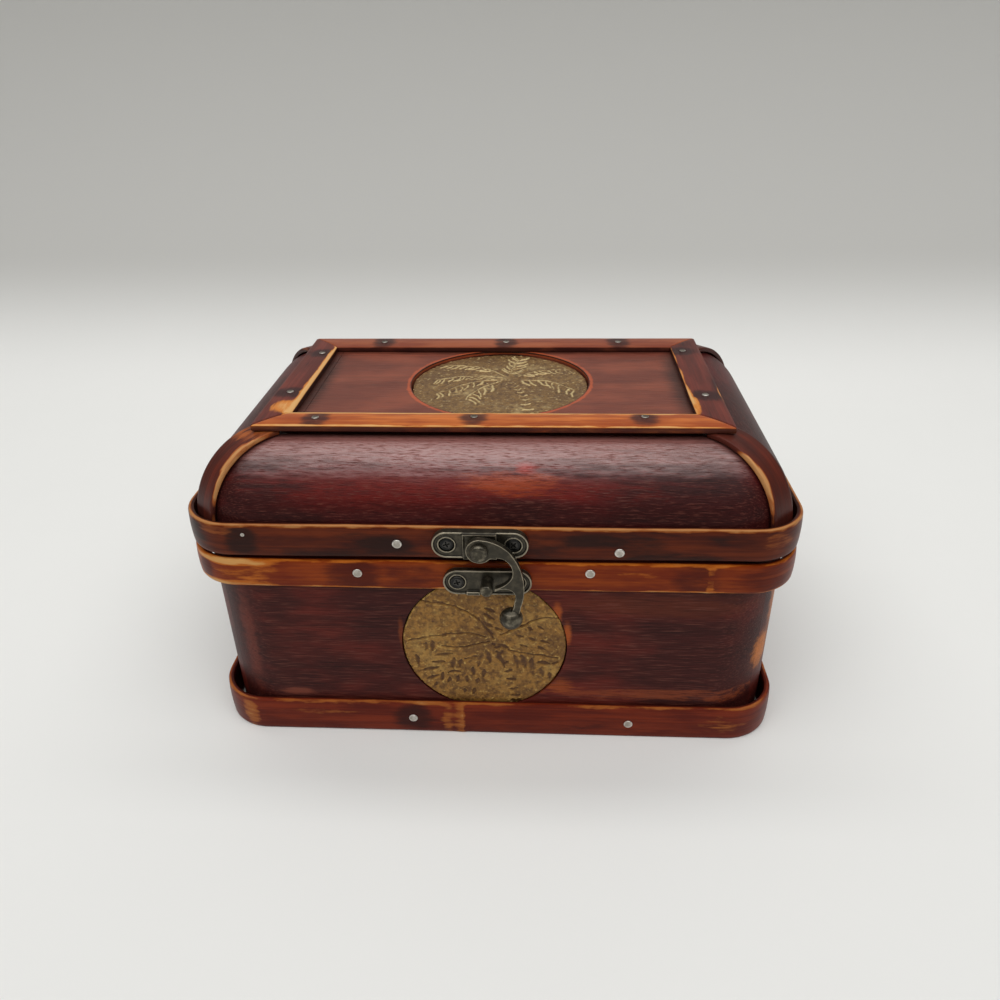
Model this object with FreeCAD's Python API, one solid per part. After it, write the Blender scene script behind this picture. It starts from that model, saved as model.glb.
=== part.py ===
import FreeCAD, Part
import math
import os

# Keepsake box: stained boards bound with bent bamboo, a rolled lid on two hinges and a swing-hook latch.
# Millimetres, +Z up, front towards -Y, origin at the middle of the underside.

Vector = FreeCAD.Vector

# Body of the box, without its bands. Its corners and the lid's rolled edges share one radius.
body_width = 215.0
body_depth = 141.0
body_corner = 26.0
board = 8.0
bottom_board = 6.0
base_height = 81.8
lid_seam = 0.3
lid_rim = 8.9

# Bent bamboo bands
band = 2.5
band_joint = 0.3
foot_band_height = 15.0
rim_band_height = 11.5
rim_band_drop = 0.8
lid_band_height = 12.5
lid_band_lift = 0.6

# Top of the lid: panel, frame of strips and straps over the four hips
panel_margin = 5.5
panel_thickness = 6.0
panel_fit = 0.2
panel_ledge = 4.0
panel_end_width = 5.6
strip_width = 12.0
strip_thickness = 2.8
strip_overhang = 3.75
strap_width = 11.5
strap_thickness = 2.0
strap_seat = 0.15
strap_tuck = 7.0
strap_lap = 3.0
strap_band_gap = 0.6

# Medallions let into the front board and the top panel
medallion_thickness = 3.0
medallion_fit = 0.25
front_medallion_radius = 30.6
front_medallion_x = -2.5
top_medallion_margin = 3.5
top_medallion_x = 1.0
top_medallion_y = 1.5
top_medallion_sink = 1.0

# Nails
nail_head_radius = 1.7
nail_head_height = 0.5
nail_shank_radius = 0.6
nail_length = 6.0
frame_nail_head_radius = 1.3
frame_nail_length = 8.6
shank_fit = 0.05
nail_face_share = 0.8

# Latch plate on the lid band and the hook that swings on its rivet
latch_x = -2.3
latch_plate_width = 33.0
latch_plate_height = 10.2
latch_plate_thickness = 3.0
latch_rim = 0.8
plate_web = 1.4
latch_block_width = 11.5
latch_block_inset = 0.3
latch_block_thickness = 4.2
hook_gap = 0.3
hook_thickness = 2.4
hook_ball_radius = 3.6
rivet_radius = 1.6
rivet_fit = 0.05
rivet_head_radius = 3.1
rivet_head_height = 1.9
rivet_head_gap = 0.1

# Keeper plate and stud on the rim band
keeper_shift = 2.1
keeper_drop = 0.9
keeper_width = 31.0
keeper_height = 10.0
keeper_thickness = 2.4
keeper_lip_height = 1.3
keeper_lip_width = 4.7
keeper_lip_rise = 0.6
keeper_lip_shift = 5.0
stud_radius = 2.2
stud_length = 5.6
stud_tail_radius = 1.4

# Cross-head screws of the latch
screw_head_radius = 2.5
screw_head_height = 1.1
screw_shank_radius = 1.1
screw_length = 7.0
screw_slot_width = 0.7
screw_slot_length = 3.2
screw_slot_depth = 0.6

# Stop hinges on the back of the bands
hinge_spread = 55.0
hinge_width = 20.0
leaf_height = 8.5
leaf_thickness = 1.2
knuckle_radius = 1.9
knuckle_stand = 0.15
knuckle_gap = 0.2
leaf_gap = 0.25
pin_radius = 0.8
pin_fit = 0.05
pin_head_radius = 1.3
pin_head_height = 0.6
stop_fin_length = 3.6
stop_fin_thickness = 1.0
lid_opening = 105.0
hinge_screw_spread = 12.0
hinge_screw_head_radius = 1.7
hinge_screw_head_height = 0.7
hinge_screw_shank_radius = 0.8
hinge_screw_length = 6.0

# Every cut runs this far past the faces that it opens
overrun = 1.0

# Nail places on the bands: side, share of the half side, share of the band's height
lid_band_nail_shares = [
    ("front", -0.79, 0.70), ("front", -0.29, 0.47), ("front", 0.42, 0.27),
    ("left", -0.45, 0.50), ("left", 0.45, 0.50), ("right", -0.45, 0.50), ("right", 0.45, 0.50),
    ("back", -0.74, 0.50), ("back", -0.08, 0.50), ("back", 0.08, 0.50), ("back", 0.74, 0.50),
]
rim_band_nail_shares = [
    ("front", -0.43, 0.58), ("front", 0.33, 0.68),
    ("left", -0.40, 0.50), ("left", 0.50, 0.50), ("right", -0.50, 0.50), ("right", 0.40, 0.50),
    ("back", -0.74, 0.50), ("back", -0.08, 0.50), ("back", 0.08, 0.50), ("back", 0.74, 0.50),
]
foot_band_nail_shares = [
    ("front", -0.29, 0.50), ("front", 0.49, 0.47),
    ("left", -0.45, 0.55), ("left", 0.40, 0.55), ("right", -0.40, 0.55), ("right", 0.45, 0.55),
    ("back", -0.50, 0.55), ("back", -0.08, 0.55), ("back", 0.08, 0.55), ("back", 0.50, 0.55),
]
# Nail places on the top frame: side, share of the half strip, share of the strip's width
frame_nail_shares = [
    ("front", -0.74, 0.50), ("front", -0.07, 0.38), ("front", 0.64, 0.34),
    ("back", -0.62, 0.45), ("back", 0.02, 0.45), ("back", 0.60, 0.45),
    ("left", -0.37, 0.48), ("left", 0.56, 0.36), ("right", -0.41, 0.48), ("right", 0.62, 0.36),
]

# Hook outline as shares of the drop from the rivet to the stud: through point and end point of each arc
hook_eye_share = 0.29
hook_eye_angles = (-38.0, -154.0, 90.0)
hook_outer_shares = [
    ((0.36, 0.20), (0.66, -0.03)),
    ((0.86, -0.40), (0.955, -0.85)),
    ((0.95, -1.15), (0.885, -1.45)),
    ((0.85, -1.62), (0.78, -1.78)),
]
hook_inner_shares = [
    ((0.71, -1.50), (0.745, -1.30)),
    ((0.76, -1.12), (0.66, -0.99)),
    ((0.50, -0.965), (0.31, -1.035)),
]
hook_tooth_shares = [
    ((0.53, -0.86), (0.68, -0.69)),
    ((0.70, -0.44), (0.54, -0.20)),
]
hook_neck_share = (0.60, -1.70)
hook_tip_share = (0.31, -0.965)
hook_throat_share = (0.40, -0.155)
hook_ball_share = (0.6625, -1.83)

# Places that follow from the sizes above
half_width = body_width / 2
half_depth = body_depth / 2
side_face = half_width + band
front_face = half_depth + band
lid_bottom = base_height + lid_seam
lid_spring = lid_bottom + lid_rim
lid_land = lid_spring + body_corner
rim_band_top = base_height - rim_band_drop
rim_band_bottom = rim_band_top - rim_band_height
lid_band_bottom = lid_bottom + lid_band_lift
lid_band_top = lid_band_bottom + lid_band_height
front_medallion_z = (foot_band_height + rim_band_bottom) / 2
panel_half_width = half_width - body_corner - panel_margin
panel_half_depth = half_depth - body_corner - panel_margin
panel_top = lid_land + strap_thickness + 2 * strap_seat
panel_bottom = panel_top - panel_thickness
strip_half_width = half_width - body_corner + strip_overhang
strip_half_depth = half_depth - body_corner + strip_overhang
top_medallion_radius = panel_half_depth - top_medallion_margin
top_medallion_floor = panel_top - top_medallion_sink - medallion_thickness
latch_z = lid_band_top - latch_plate_height / 2
keeper_x = latch_x + keeper_shift
keeper_z = rim_band_bottom + rim_band_height / 2 - keeper_drop
hook_drop = latch_z - keeper_z
hook_back = front_face + latch_block_thickness + hook_gap
hook_front = hook_back + hook_thickness
hinge_y = front_face + knuckle_stand + knuckle_radius
hinge_z = (rim_band_top + lid_band_bottom) / 2

outward = {
    "front": Vector(0, -1, 0), "back": Vector(0, 1, 0),
    "left": Vector(-1, 0, 0), "right": Vector(1, 0, 0),
}
up = Vector(0, 0, 1)


def block(x, y, z):
    """Box between the pairs of limits x, y and z."""
    corner = Vector(x[0], y[0], z[0])
    return Part.makeBox(x[1] - x[0], y[1] - y[0], z[1] - z[0], corner)


def rod(radius, start, end):
    """Round rod from one point to another."""
    return Part.makeCylinder(radius, (end - start).Length, start, end - start)


def one_solid(shapes):
    """Fuse shapes that touch into one clean solid."""
    return shapes[0].multiFuse(shapes[1:]).removeSplitter().Solids[0]


def rounded_block(width, depth, radius, bottom, top):
    """Upright block on the Z axis with rounded corners."""
    shape = block((-width / 2, width / 2), (-depth / 2, depth / 2), (bottom, top))
    upright = [edge for edge in shape.Edges if edge.Vertexes[0].Z != edge.Vertexes[1].Z]
    return shape.makeFillet(radius, upright)


def rolled_block(width, depth, radius, bottom, spring):
    """Upright block whose corners and top edges are rolled over with one radius."""
    shape = block((-width / 2, width / 2), (-depth / 2, depth / 2), (bottom, spring + radius))
    rolled = [edge for edge in shape.Edges if max(vertex.Z for vertex in edge.Vertexes) > spring]
    return shape.makeFillet(radius, rolled)


def mitre_wedge(side, bottom, top):
    """Prism that holds one side of the box, cut at 45 degrees through the corners."""
    ridge = half_width - half_depth
    far_x = half_width + overrun
    far_y = half_depth + overrun
    plan = {
        "front": [(-far_x, -far_y), (far_x, -far_y), (ridge, 0), (-ridge, 0)],
        "back": [(-far_x, far_y), (far_x, far_y), (ridge, 0), (-ridge, 0)],
        "left": [(-far_x, -far_y), (-ridge, 0), (-far_x, far_y)],
        "right": [(far_x, -far_y), (ridge, 0), (far_x, far_y)],
    }[side]
    points = [Vector(x, y, bottom) for x, y in plan]
    face = Part.Face(Part.makePolygon(points + points[:1]))
    return face.extrude(up * (top - bottom))


def stadium(x, z, width, height, start, end):
    """Plate with round ends, upright on the front, between two distances from the box's middle."""
    straight = (width - height) / 2
    ends = [rod(height / 2, Vector(end_x, -start, z), Vector(end_x, -end, z))
            for end_x in (x - straight, x + straight)]
    middle = block((x - straight, x + straight), (-end, -start), (z - height / 2, z + height / 2))
    return one_solid([middle] + ends)


def band_point(side, along_share, z):
    """Point on the outer face of a band."""
    if side in ("front", "back"):
        return outward[side] * front_face + Vector(along_share * half_width, 0, z)
    return outward[side] * side_face + Vector(0, along_share * half_depth, z)


def band_nail_places(shares, bottom, height):
    """Points and directions of a band's nails."""
    return [(band_point(side, along, bottom + rise * height), outward[side]) for side, along, rise in shares]


def frame_nail_places():
    """Points and directions of the nails through the top frame."""
    places = []
    for side, along, across in frame_nail_shares:
        inset = strip_width * (1 - across)
        if side in ("front", "back"):
            point = outward[side] * (strip_half_depth - inset) + Vector(along * strip_half_width, 0, 0)
        else:
            point = outward[side] * (strip_half_width - inset) + Vector(0, along * strip_half_depth, 0)
        places.append((point + up * (panel_top + strip_thickness), up))
    return places


def nails(places, head_radius, length):
    """Group of nails, each with a flat head on the surface and a shank in its hole."""
    group = []
    for point, out in places:
        head = Part.makeCone(head_radius, head_radius * nail_face_share, nail_head_height, point, out)
        group.append(one_solid([head, rod(nail_shank_radius, point, point - out * length)]))
    return Part.makeCompound(group)


def nail_holes(places, length):
    """Holes for a group of nails."""
    radius = nail_shank_radius + shank_fit
    reach = length + shank_fit
    return [rod(radius, point + out * overrun, point - out * reach) for point, out in places]


def screw(point, out, head_radius, head_height, shank_radius, length):
    """Cross-head screw whose head sits on a point of the plate's floor."""
    head = rod(head_radius, point, point + out * head_height)
    body = one_solid([head, rod(shank_radius, point, point - out * length)])
    side = out.cross(up)
    for turn in (0, 90):
        slot = Part.makeBox(screw_slot_length, screw_slot_width, screw_slot_depth + overrun,
                            Vector(-screw_slot_length / 2, -screw_slot_width / 2, -screw_slot_depth))
        slot.rotate(Vector(), up, turn)
        slot.Placement = FreeCAD.Placement(Vector(), FreeCAD.Rotation(side, up, out)) * slot.Placement
        slot.translate(point + out * head_height)
        body = body.cut(slot)
    return body


def screw_holes(places, shank_radius, length):
    """Holes for a group of screws."""
    radius = shank_radius + shank_fit
    reach = length + shank_fit
    return [rod(radius, point + out * overrun, point - out * reach) for point, out in places]


# Places of fasteners, shared by the pieces that they hold
lid_band_nails = band_nail_places(lid_band_nail_shares, lid_band_bottom, lid_band_height)
rim_band_nails = band_nail_places(rim_band_nail_shares, rim_band_bottom, rim_band_height)
foot_band_nails = band_nail_places(foot_band_nail_shares, 0, foot_band_height)
frame_nails = frame_nail_places()


def plate_screws(x, z, width, height):
    """Screw places at the round ends of a latch plate, on the floor of its recess."""
    straight = (width - height) / 2
    return [(Vector(x + dx, -front_face - plate_web, z), outward["front"]) for dx in (-straight, straight)]


latch_screws = plate_screws(latch_x, latch_z, latch_plate_width, latch_plate_height)
keeper_screws = plate_screws(keeper_x, keeper_z, keeper_width, keeper_height)


def leaf_screws(hinge_x, above):
    """Screw places on one hinge leaf, above or below the pin."""
    z = hinge_z + above * (knuckle_radius + leaf_gap + leaf_height / 2)
    return [(Vector(hinge_x + dx, front_face + leaf_thickness, z), outward["back"])
            for dx in (-hinge_screw_spread / 2, hinge_screw_spread / 2)]


hinge_places = {"left": -hinge_spread, "right": hinge_spread}
base_leaf_screws = [place for x in hinge_places.values() for place in leaf_screws(x, -1)]
lid_leaf_screws = [place for x in hinge_places.values() for place in leaf_screws(x, 1)]
base_holes = (
    nail_holes(rim_band_nails, nail_length) + nail_holes(foot_band_nails, nail_length)
    + screw_holes(keeper_screws, screw_shank_radius, screw_length)
    + screw_holes(base_leaf_screws, hinge_screw_shank_radius, hinge_screw_length)
)
lid_holes = (
    nail_holes(lid_band_nails, nail_length) + nail_holes(frame_nails, frame_nail_length)
    + screw_holes(latch_screws, screw_shank_radius, screw_length)
    + screw_holes(lid_leaf_screws, hinge_screw_shank_radius, hinge_screw_length)
)


def front_medallion(radius, start):
    """Disc in the front board, from a distance behind its face out to the face."""
    centre = Vector(front_medallion_x, -half_depth, front_medallion_z)
    return rod(radius, centre - outward["front"] * start, centre)


def top_medallion(radius, bottom, top):
    """Disc in the top panel between two heights."""
    centre = Vector(top_medallion_x, top_medallion_y, 0)
    return rod(radius, centre + up * bottom, centre + up * top)


def bottom_piece():
    """Bottom board under the four walls."""
    shape = rounded_block(body_width, body_depth, body_corner, 0, bottom_board)
    recess = front_medallion(front_medallion_radius + medallion_fit, medallion_thickness)
    return shape.cut(base_holes + [recess])


def wall_piece(side):
    """One wall of the base, with rounded and mitred ends."""
    outer = rounded_block(body_width, body_depth, body_corner, bottom_board, base_height)
    inner = rounded_block(body_width - 2 * board, body_depth - 2 * board, body_corner - board,
                          bottom_board - overrun, base_height + overrun)
    wall = outer.cut(inner).common(mitre_wedge(side, bottom_board, base_height))
    recess = front_medallion(front_medallion_radius + medallion_fit, medallion_thickness)
    return wall.cut(base_holes + [recess])


def band_corner_radius():
    """Inner corner radius of the bands that leaves a gap round the edges of the hip straps."""
    diagonal = body_corner * (math.sqrt(2) - 1) - strap_seat - strap_thickness - strap_band_gap
    half_strap = strap_width / 2
    return math.sqrt(2) * diagonal + math.sqrt(diagonal ** 2 - half_strap ** 2)


def band_piece(bottom, height, holes):
    """Bent strip all round the box, with its butt joint at the middle of the back."""
    inner_radius = band_corner_radius()
    outer = rounded_block(2 * side_face, 2 * front_face, inner_radius + band, bottom, bottom + height)
    inner = rounded_block(body_width, body_depth, inner_radius, bottom - overrun, bottom + height + overrun)
    joint = block((-band_joint / 2, band_joint / 2), (half_depth - overrun, front_face + overrun),
                  (bottom - overrun, bottom + height + overrun))
    return outer.cut([inner, joint] + holes)


def moulding_piece(side):
    """One side of the lid: upright rim, rolled edge and the ledge that carries the top panel."""
    outer = rolled_block(body_width, body_depth, body_corner, lid_bottom, lid_spring)
    inner = rolled_block(body_width - 2 * board, body_depth - 2 * board, body_corner - board,
                         lid_bottom - overrun, lid_spring)
    seat_x = panel_half_width + panel_fit
    seat_y = panel_half_depth + panel_fit
    seat = block((-seat_x, seat_x), (-seat_y, seat_y), (panel_bottom, panel_top))
    light_x = panel_half_width - panel_ledge
    light_y = panel_half_depth - panel_ledge
    light = block((-light_x, light_x), (-light_y, light_y), (lid_spring, panel_top))
    shell = outer.cut([inner, seat, light])
    return shell.common(mitre_wedge(side, lid_bottom, panel_top)).cut(lid_holes)


def panel_piece():
    """Top panel with the recess for its medallion."""
    left = -panel_half_width + panel_end_width
    shape = block((left, panel_half_width), (-panel_half_depth, panel_half_depth), (panel_bottom, panel_top))
    radius = top_medallion_radius + medallion_fit
    return shape.cut(top_medallion(radius, top_medallion_floor, panel_top + overrun))


def panel_end_piece():
    """Narrow strip that closes the left end of the top panel."""
    right = -panel_half_width + panel_end_width - panel_fit
    return block((-panel_half_width, right), (-panel_half_depth, panel_half_depth), (panel_bottom, panel_top))


def frame_strip(side):
    """One mitred bamboo strip of the top frame."""
    outer = block((-strip_half_width, strip_half_width), (-strip_half_depth, strip_half_depth),
                  (panel_top, panel_top + strip_thickness))
    open_x = strip_half_width - strip_width
    open_y = strip_half_depth - strip_width
    light = block((-open_x, open_x), (-open_y, open_y), (lid_land, lid_land + panel_thickness))
    frame = outer.cut([light] + nail_holes(frame_nails, frame_nail_length))
    return frame.common(mitre_wedge(side, lid_land, panel_top + strip_thickness))


def hip_strap(x_side, y_side):
    """Bamboo strap bent over one rolled corner of the lid, from inside the band to under the top frame."""
    inner = body_corner + strap_seat
    outer = inner + strap_thickness
    foot = lid_band_top - strap_tuck

    def place(along, z):
        return Vector(along, -strap_width / 2, z)

    def quarter(radius):
        middle = radius / math.sqrt(2)
        return Part.Arc(place(radius, lid_spring), place(middle, lid_spring + middle),
                        place(0, lid_spring + radius)).toShape()

    def line(start, end):
        return Part.LineSegment(start, end).toShape()

    edges = [
        line(place(inner, foot), place(outer, foot)), line(place(outer, foot), place(outer, lid_spring)),
        quarter(outer), line(place(0, lid_spring + outer), place(-strap_lap, lid_spring + outer)),
        line(place(-strap_lap, lid_spring + outer), place(-strap_lap, lid_spring + inner)),
        line(place(-strap_lap, lid_spring + inner), place(0, lid_spring + inner)), quarter(inner),
        line(place(inner, lid_spring), place(inner, foot)),
    ]
    face = Part.Face(Part.Wire(Part.__sortEdges__(edges)))
    strap = face.extrude(Vector(0, strap_width, 0))
    strap.rotate(Vector(), up, math.degrees(math.atan2(y_side, x_side)))
    strap.translate(Vector(x_side * (half_width - body_corner), y_side * (half_depth - body_corner), 0))
    return strap


def stadium_plate(x, z, width, height, thickness):
    """Round-ended plate on a band's face, with a rim round a sunk floor."""
    outer = stadium(x, z, width, height, front_face, front_face + thickness)
    floor = stadium(x, z, width - 2 * latch_rim, height - 2 * latch_rim,
                    front_face + plate_web, front_face + thickness + overrun)
    return outer.cut(floor)


def latch_plate():
    """Plate on the lid band with the raised block that carries the hook."""
    plate = stadium_plate(latch_x, latch_z, latch_plate_width, latch_plate_height, latch_plate_thickness)
    half_block = latch_plate_height / 2 - latch_block_inset
    raised = block((latch_x - latch_block_width / 2, latch_x + latch_block_width / 2),
                   (-front_face - latch_block_thickness, -front_face),
                   (latch_z - half_block, latch_z + half_block))
    bore = rod(rivet_radius + rivet_fit, Vector(latch_x, -front_face + overrun, latch_z),
               Vector(latch_x, -hook_back, latch_z))
    holes = screw_holes(latch_screws, screw_shank_radius, screw_length)
    return one_solid([plate, raised]).cut([bore] + holes)


def latch_rivet():
    """Rivet through the plate and the hook's eye, with a domed head."""
    centre = Vector(latch_x, 0, latch_z)
    neck = centre + outward["front"] * (hook_front + rivet_head_gap)
    head = rod(rivet_head_radius, neck, neck + outward["front"] * rivet_head_height)
    rim = [edge for edge in head.Edges if edge.BoundBox.YMax < neck.y - rivet_head_height / 2]
    dome = head.makeFillet(rivet_head_height / 2, rim)
    return one_solid([dome, rod(rivet_radius, centre + outward["front"] * front_face, neck)])


def latch_hook():
    """Flat swinging hook with an eye, a tooth beside the stud and a round ball to push it by."""
    def place(share):
        return Vector(latch_x + share[0] * hook_drop, -hook_back, latch_z + share[1] * hook_drop)

    def eye(angle):
        turn = math.radians(angle)
        return place((hook_eye_share * math.cos(turn), hook_eye_share * math.sin(turn)))

    def arcs(start, shares):
        chain = []
        for through, end in shares:
            chain.append(Part.Arc(place(start), place(through), place(end)).toShape())
            start = end
        return chain

    throat, belly, crown = hook_eye_angles
    crown_share = (0, hook_eye_share)
    edges = arcs(crown_share, hook_outer_shares)
    edges.append(Part.LineSegment(place(hook_outer_shares[-1][1]), place(hook_neck_share)).toShape())
    edges += arcs(hook_neck_share, hook_inner_shares)
    edges.append(Part.LineSegment(place(hook_inner_shares[-1][1]), place(hook_tip_share)).toShape())
    edges += arcs(hook_tip_share, hook_tooth_shares)
    edges.append(Part.Arc(place(hook_tooth_shares[-1][1]), place(hook_throat_share), eye(throat)).toShape())
    edges.append(Part.Arc(eye(throat), eye(belly), eye(crown)).toShape())
    plate = Part.Face(Part.Wire(Part.__sortEdges__(edges))).extrude(outward["front"] * hook_thickness)
    # The ball's poles face front and back, clear of the neck that runs into it
    middle = place(hook_ball_share) + outward["front"] * (hook_thickness / 2)
    ball = Part.makeSphere(hook_ball_radius, middle, outward["front"])
    bore = rod(rivet_radius + rivet_fit, Vector(latch_x, -front_face, latch_z),
               Vector(latch_x, -hook_front - overrun, latch_z))
    return one_solid([plate, ball]).cut(bore)


def keeper_plate():
    """Plate on the rim band with a small lip at its lower edge and the hole of the stud."""
    plate = stadium_plate(keeper_x, keeper_z, keeper_width, keeper_height, keeper_thickness)
    lip_x = keeper_x - keeper_lip_shift
    low = keeper_z - keeper_height / 2
    lip = block((lip_x - keeper_lip_width / 2, lip_x + keeper_lip_width / 2),
                (-front_face - keeper_thickness - keeper_lip_rise, -front_face),
                (low, low + keeper_lip_height))
    hole = rod(stud_tail_radius + shank_fit, Vector(keeper_x, -front_face + overrun, keeper_z),
               Vector(keeper_x, -front_face - keeper_thickness - overrun, keeper_z))
    holes = screw_holes(keeper_screws, screw_shank_radius, screw_length)
    return one_solid([plate, lip]).cut([hole] + holes)


def keeper_stud():
    """Round-ended stud riveted into the keeper plate."""
    centre = Vector(keeper_x, 0, keeper_z)
    foot = centre + outward["front"] * (front_face + plate_web)
    tip = centre + outward["front"] * (front_face + keeper_thickness + stud_length)
    post = rod(stud_radius, foot, tip)
    rim = [edge for edge in post.Edges if edge.BoundBox.YMax < tip.y + stud_radius]
    return one_solid([post.makeFillet(stud_radius / 2, rim),
                      rod(stud_tail_radius, centre + outward["front"] * front_face, foot)])


def plate_screw_group(places):
    """Screws of one latch plate."""
    return Part.makeCompound([
        screw(point, out, screw_head_radius, screw_head_height, screw_shank_radius, screw_length)
        for point, out in places
    ])


def hinge_screw_group(places):
    """Screws of the hinge leaves on one body."""
    return Part.makeCompound([
        screw(point, out, hinge_screw_head_radius, hinge_screw_head_height,
              hinge_screw_shank_radius, hinge_screw_length)
        for point, out in places
    ])


def knuckle(x_start, x_end, leaf_edge):
    """Hinge knuckle with the web that joins it to its leaf's edge."""
    barrel = rod(knuckle_radius, Vector(x_start, hinge_y, hinge_z), Vector(x_end, hinge_y, hinge_z))
    web = block((x_start, x_end), (front_face, front_face + leaf_thickness),
                (min(hinge_z, leaf_edge), max(hinge_z, leaf_edge)))
    return [barrel, web]


def pin_bore(hinge_x):
    """Bore of one hinge, all along its width."""
    return rod(pin_radius + pin_fit, Vector(hinge_x - hinge_width, hinge_y, hinge_z),
               Vector(hinge_x + hinge_width, hinge_y, hinge_z))


def hinge_base_leaf(hinge_x):
    """Lower leaf with the two outer knuckles."""
    third = hinge_width / 6
    top = hinge_z - knuckle_radius - leaf_gap
    left, right = hinge_x - hinge_width / 2, hinge_x + hinge_width / 2
    plate = block((left, right), (front_face, front_face + leaf_thickness), (top - leaf_height, top))
    parts = [plate] + knuckle(left, hinge_x - third - knuckle_gap / 2, top)
    parts += knuckle(hinge_x + third + knuckle_gap / 2, right, top)
    holes = screw_holes(leaf_screws(hinge_x, -1), hinge_screw_shank_radius, hinge_screw_length)
    return one_solid(parts).cut([pin_bore(hinge_x)] + holes)


def hinge_lid_leaf(hinge_x):
    """Upper leaf with the middle knuckle and the fin that stops the open lid."""
    third = hinge_width / 6
    bottom = hinge_z + knuckle_radius + leaf_gap
    left, right = hinge_x - hinge_width / 2, hinge_x + hinge_width / 2
    inner_left, inner_right = hinge_x - third + knuckle_gap / 2, hinge_x + third - knuckle_gap / 2
    plate = block((left, right), (front_face, front_face + leaf_thickness), (bottom, bottom + leaf_height))
    fin = block((inner_left, inner_right), (0, stop_fin_length),
                (-stop_fin_thickness / 2, stop_fin_thickness / 2))
    fin.rotate(Vector(), Vector(1, 0, 0), lid_opening - 90)
    fin.translate(Vector(0, hinge_y, hinge_z))
    holes = screw_holes(leaf_screws(hinge_x, 1), hinge_screw_shank_radius, hinge_screw_length)
    leaf = one_solid([plate, fin] + knuckle(inner_left, inner_right, bottom))
    return leaf.cut([pin_bore(hinge_x)] + holes)


def hinge_pin(hinge_x):
    """Pin through the knuckles with a head at each end."""
    left, right = hinge_x - hinge_width / 2, hinge_x + hinge_width / 2
    pieces = [rod(pin_radius, Vector(left, hinge_y, hinge_z), Vector(right, hinge_y, hinge_z))]
    for start, end in ((left - pin_head_height, left), (right, right + pin_head_height)):
        pieces.append(rod(pin_head_radius, Vector(start, hinge_y, hinge_z), Vector(end, hinge_y, hinge_z)))
    return one_solid(pieces)


def build():
    """Every piece of the box by the name of its node."""
    pieces = {
        "base_bottom_board": bottom_piece(),
        "base_foot_band": band_piece(0, foot_band_height, nail_holes(foot_band_nails, nail_length)),
        "base_rim_band": band_piece(rim_band_bottom, rim_band_height, base_holes),
        "foot_band_nails": nails(foot_band_nails, nail_head_radius, nail_length),
        "rim_band_nails": nails(rim_band_nails, nail_head_radius, nail_length),
        "front_medallion": front_medallion(front_medallion_radius, medallion_thickness).cut(base_holes),
        "keeper_plate": keeper_plate(),
        "keeper_stud": keeper_stud(),
        "keeper_screws": plate_screw_group(keeper_screws),
        "hinge_base_screws": hinge_screw_group(base_leaf_screws),
        "lid_top_panel": panel_piece(),
        "lid_panel_end_strip": panel_end_piece(),
        "top_medallion": top_medallion(top_medallion_radius, top_medallion_floor,
                                       top_medallion_floor + medallion_thickness),
        "lid_band": band_piece(lid_band_bottom, lid_band_height, lid_holes),
        "lid_band_nails": nails(lid_band_nails, nail_head_radius, nail_length),
        "frame_strip_nails": nails(frame_nails, frame_nail_head_radius, frame_nail_length),
        "latch_plate": latch_plate(),
        "latch_plate_screws": plate_screw_group(latch_screws),
        "latch_rivet": latch_rivet(),
        "latch_hook": latch_hook(),
        "hinge_lid_screws": hinge_screw_group(lid_leaf_screws),
    }
    for side in outward:
        pieces["base_" + side + "_board"] = wall_piece(side)
        pieces["lid_" + side + "_moulding"] = moulding_piece(side)
        pieces["frame_strip_" + side] = frame_strip(side)
    for y_name, y_side in (("front", -1), ("back", 1)):
        for x_name, x_side in (("left", -1), ("right", 1)):
            pieces["hip_strap_" + y_name + "_" + x_name] = hip_strap(x_side, y_side)
    for side, hinge_x in hinge_places.items():
        pieces["hinge_base_leaf_" + side] = hinge_base_leaf(hinge_x)
        pieces["hinge_lid_leaf_" + side] = hinge_lid_leaf(hinge_x)
        pieces["hinge_pin_" + side] = hinge_pin(hinge_x)
    return pieces


os.makedirs("parts", exist_ok=True)
for node, shape in build().items():
    shape.exportStep(os.path.join("parts", node + ".step"))
    print(node, len(shape.Solids), round(shape.Volume, 1), shape.isValid())
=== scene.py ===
"""Looks of a keepsake box: stained boards, scorched bamboo bindings, gilt palm medallions and a bronze latch.

Pieces are modelled in millimetres on the bench and turned to metres when they are settled on their body.
"""

import logging
import math
from contextlib import contextmanager
from dataclasses import dataclass, replace
from enum import Enum
from typing import Any, Callable, Iterator, Sequence

import bmesh
import bpy
import numpy as np
from mathutils import Matrix, Vector, noise

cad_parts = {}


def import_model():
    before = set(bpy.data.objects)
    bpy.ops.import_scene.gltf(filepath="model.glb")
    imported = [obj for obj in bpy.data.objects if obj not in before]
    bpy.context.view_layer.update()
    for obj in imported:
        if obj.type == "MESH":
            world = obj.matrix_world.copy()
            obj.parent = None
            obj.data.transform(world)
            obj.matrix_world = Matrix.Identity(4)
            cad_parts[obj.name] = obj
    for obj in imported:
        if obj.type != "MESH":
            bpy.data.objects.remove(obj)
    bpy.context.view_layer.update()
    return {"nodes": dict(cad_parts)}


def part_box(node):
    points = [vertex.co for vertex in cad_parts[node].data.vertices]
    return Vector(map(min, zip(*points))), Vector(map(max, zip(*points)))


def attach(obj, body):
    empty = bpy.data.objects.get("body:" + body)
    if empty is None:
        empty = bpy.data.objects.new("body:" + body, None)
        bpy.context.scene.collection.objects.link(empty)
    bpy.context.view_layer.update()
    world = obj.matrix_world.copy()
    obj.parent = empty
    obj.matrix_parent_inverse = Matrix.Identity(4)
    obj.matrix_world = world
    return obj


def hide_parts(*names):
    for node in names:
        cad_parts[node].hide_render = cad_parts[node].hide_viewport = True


MM = 0.001
log = logging.getLogger("keepsake_box")

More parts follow.
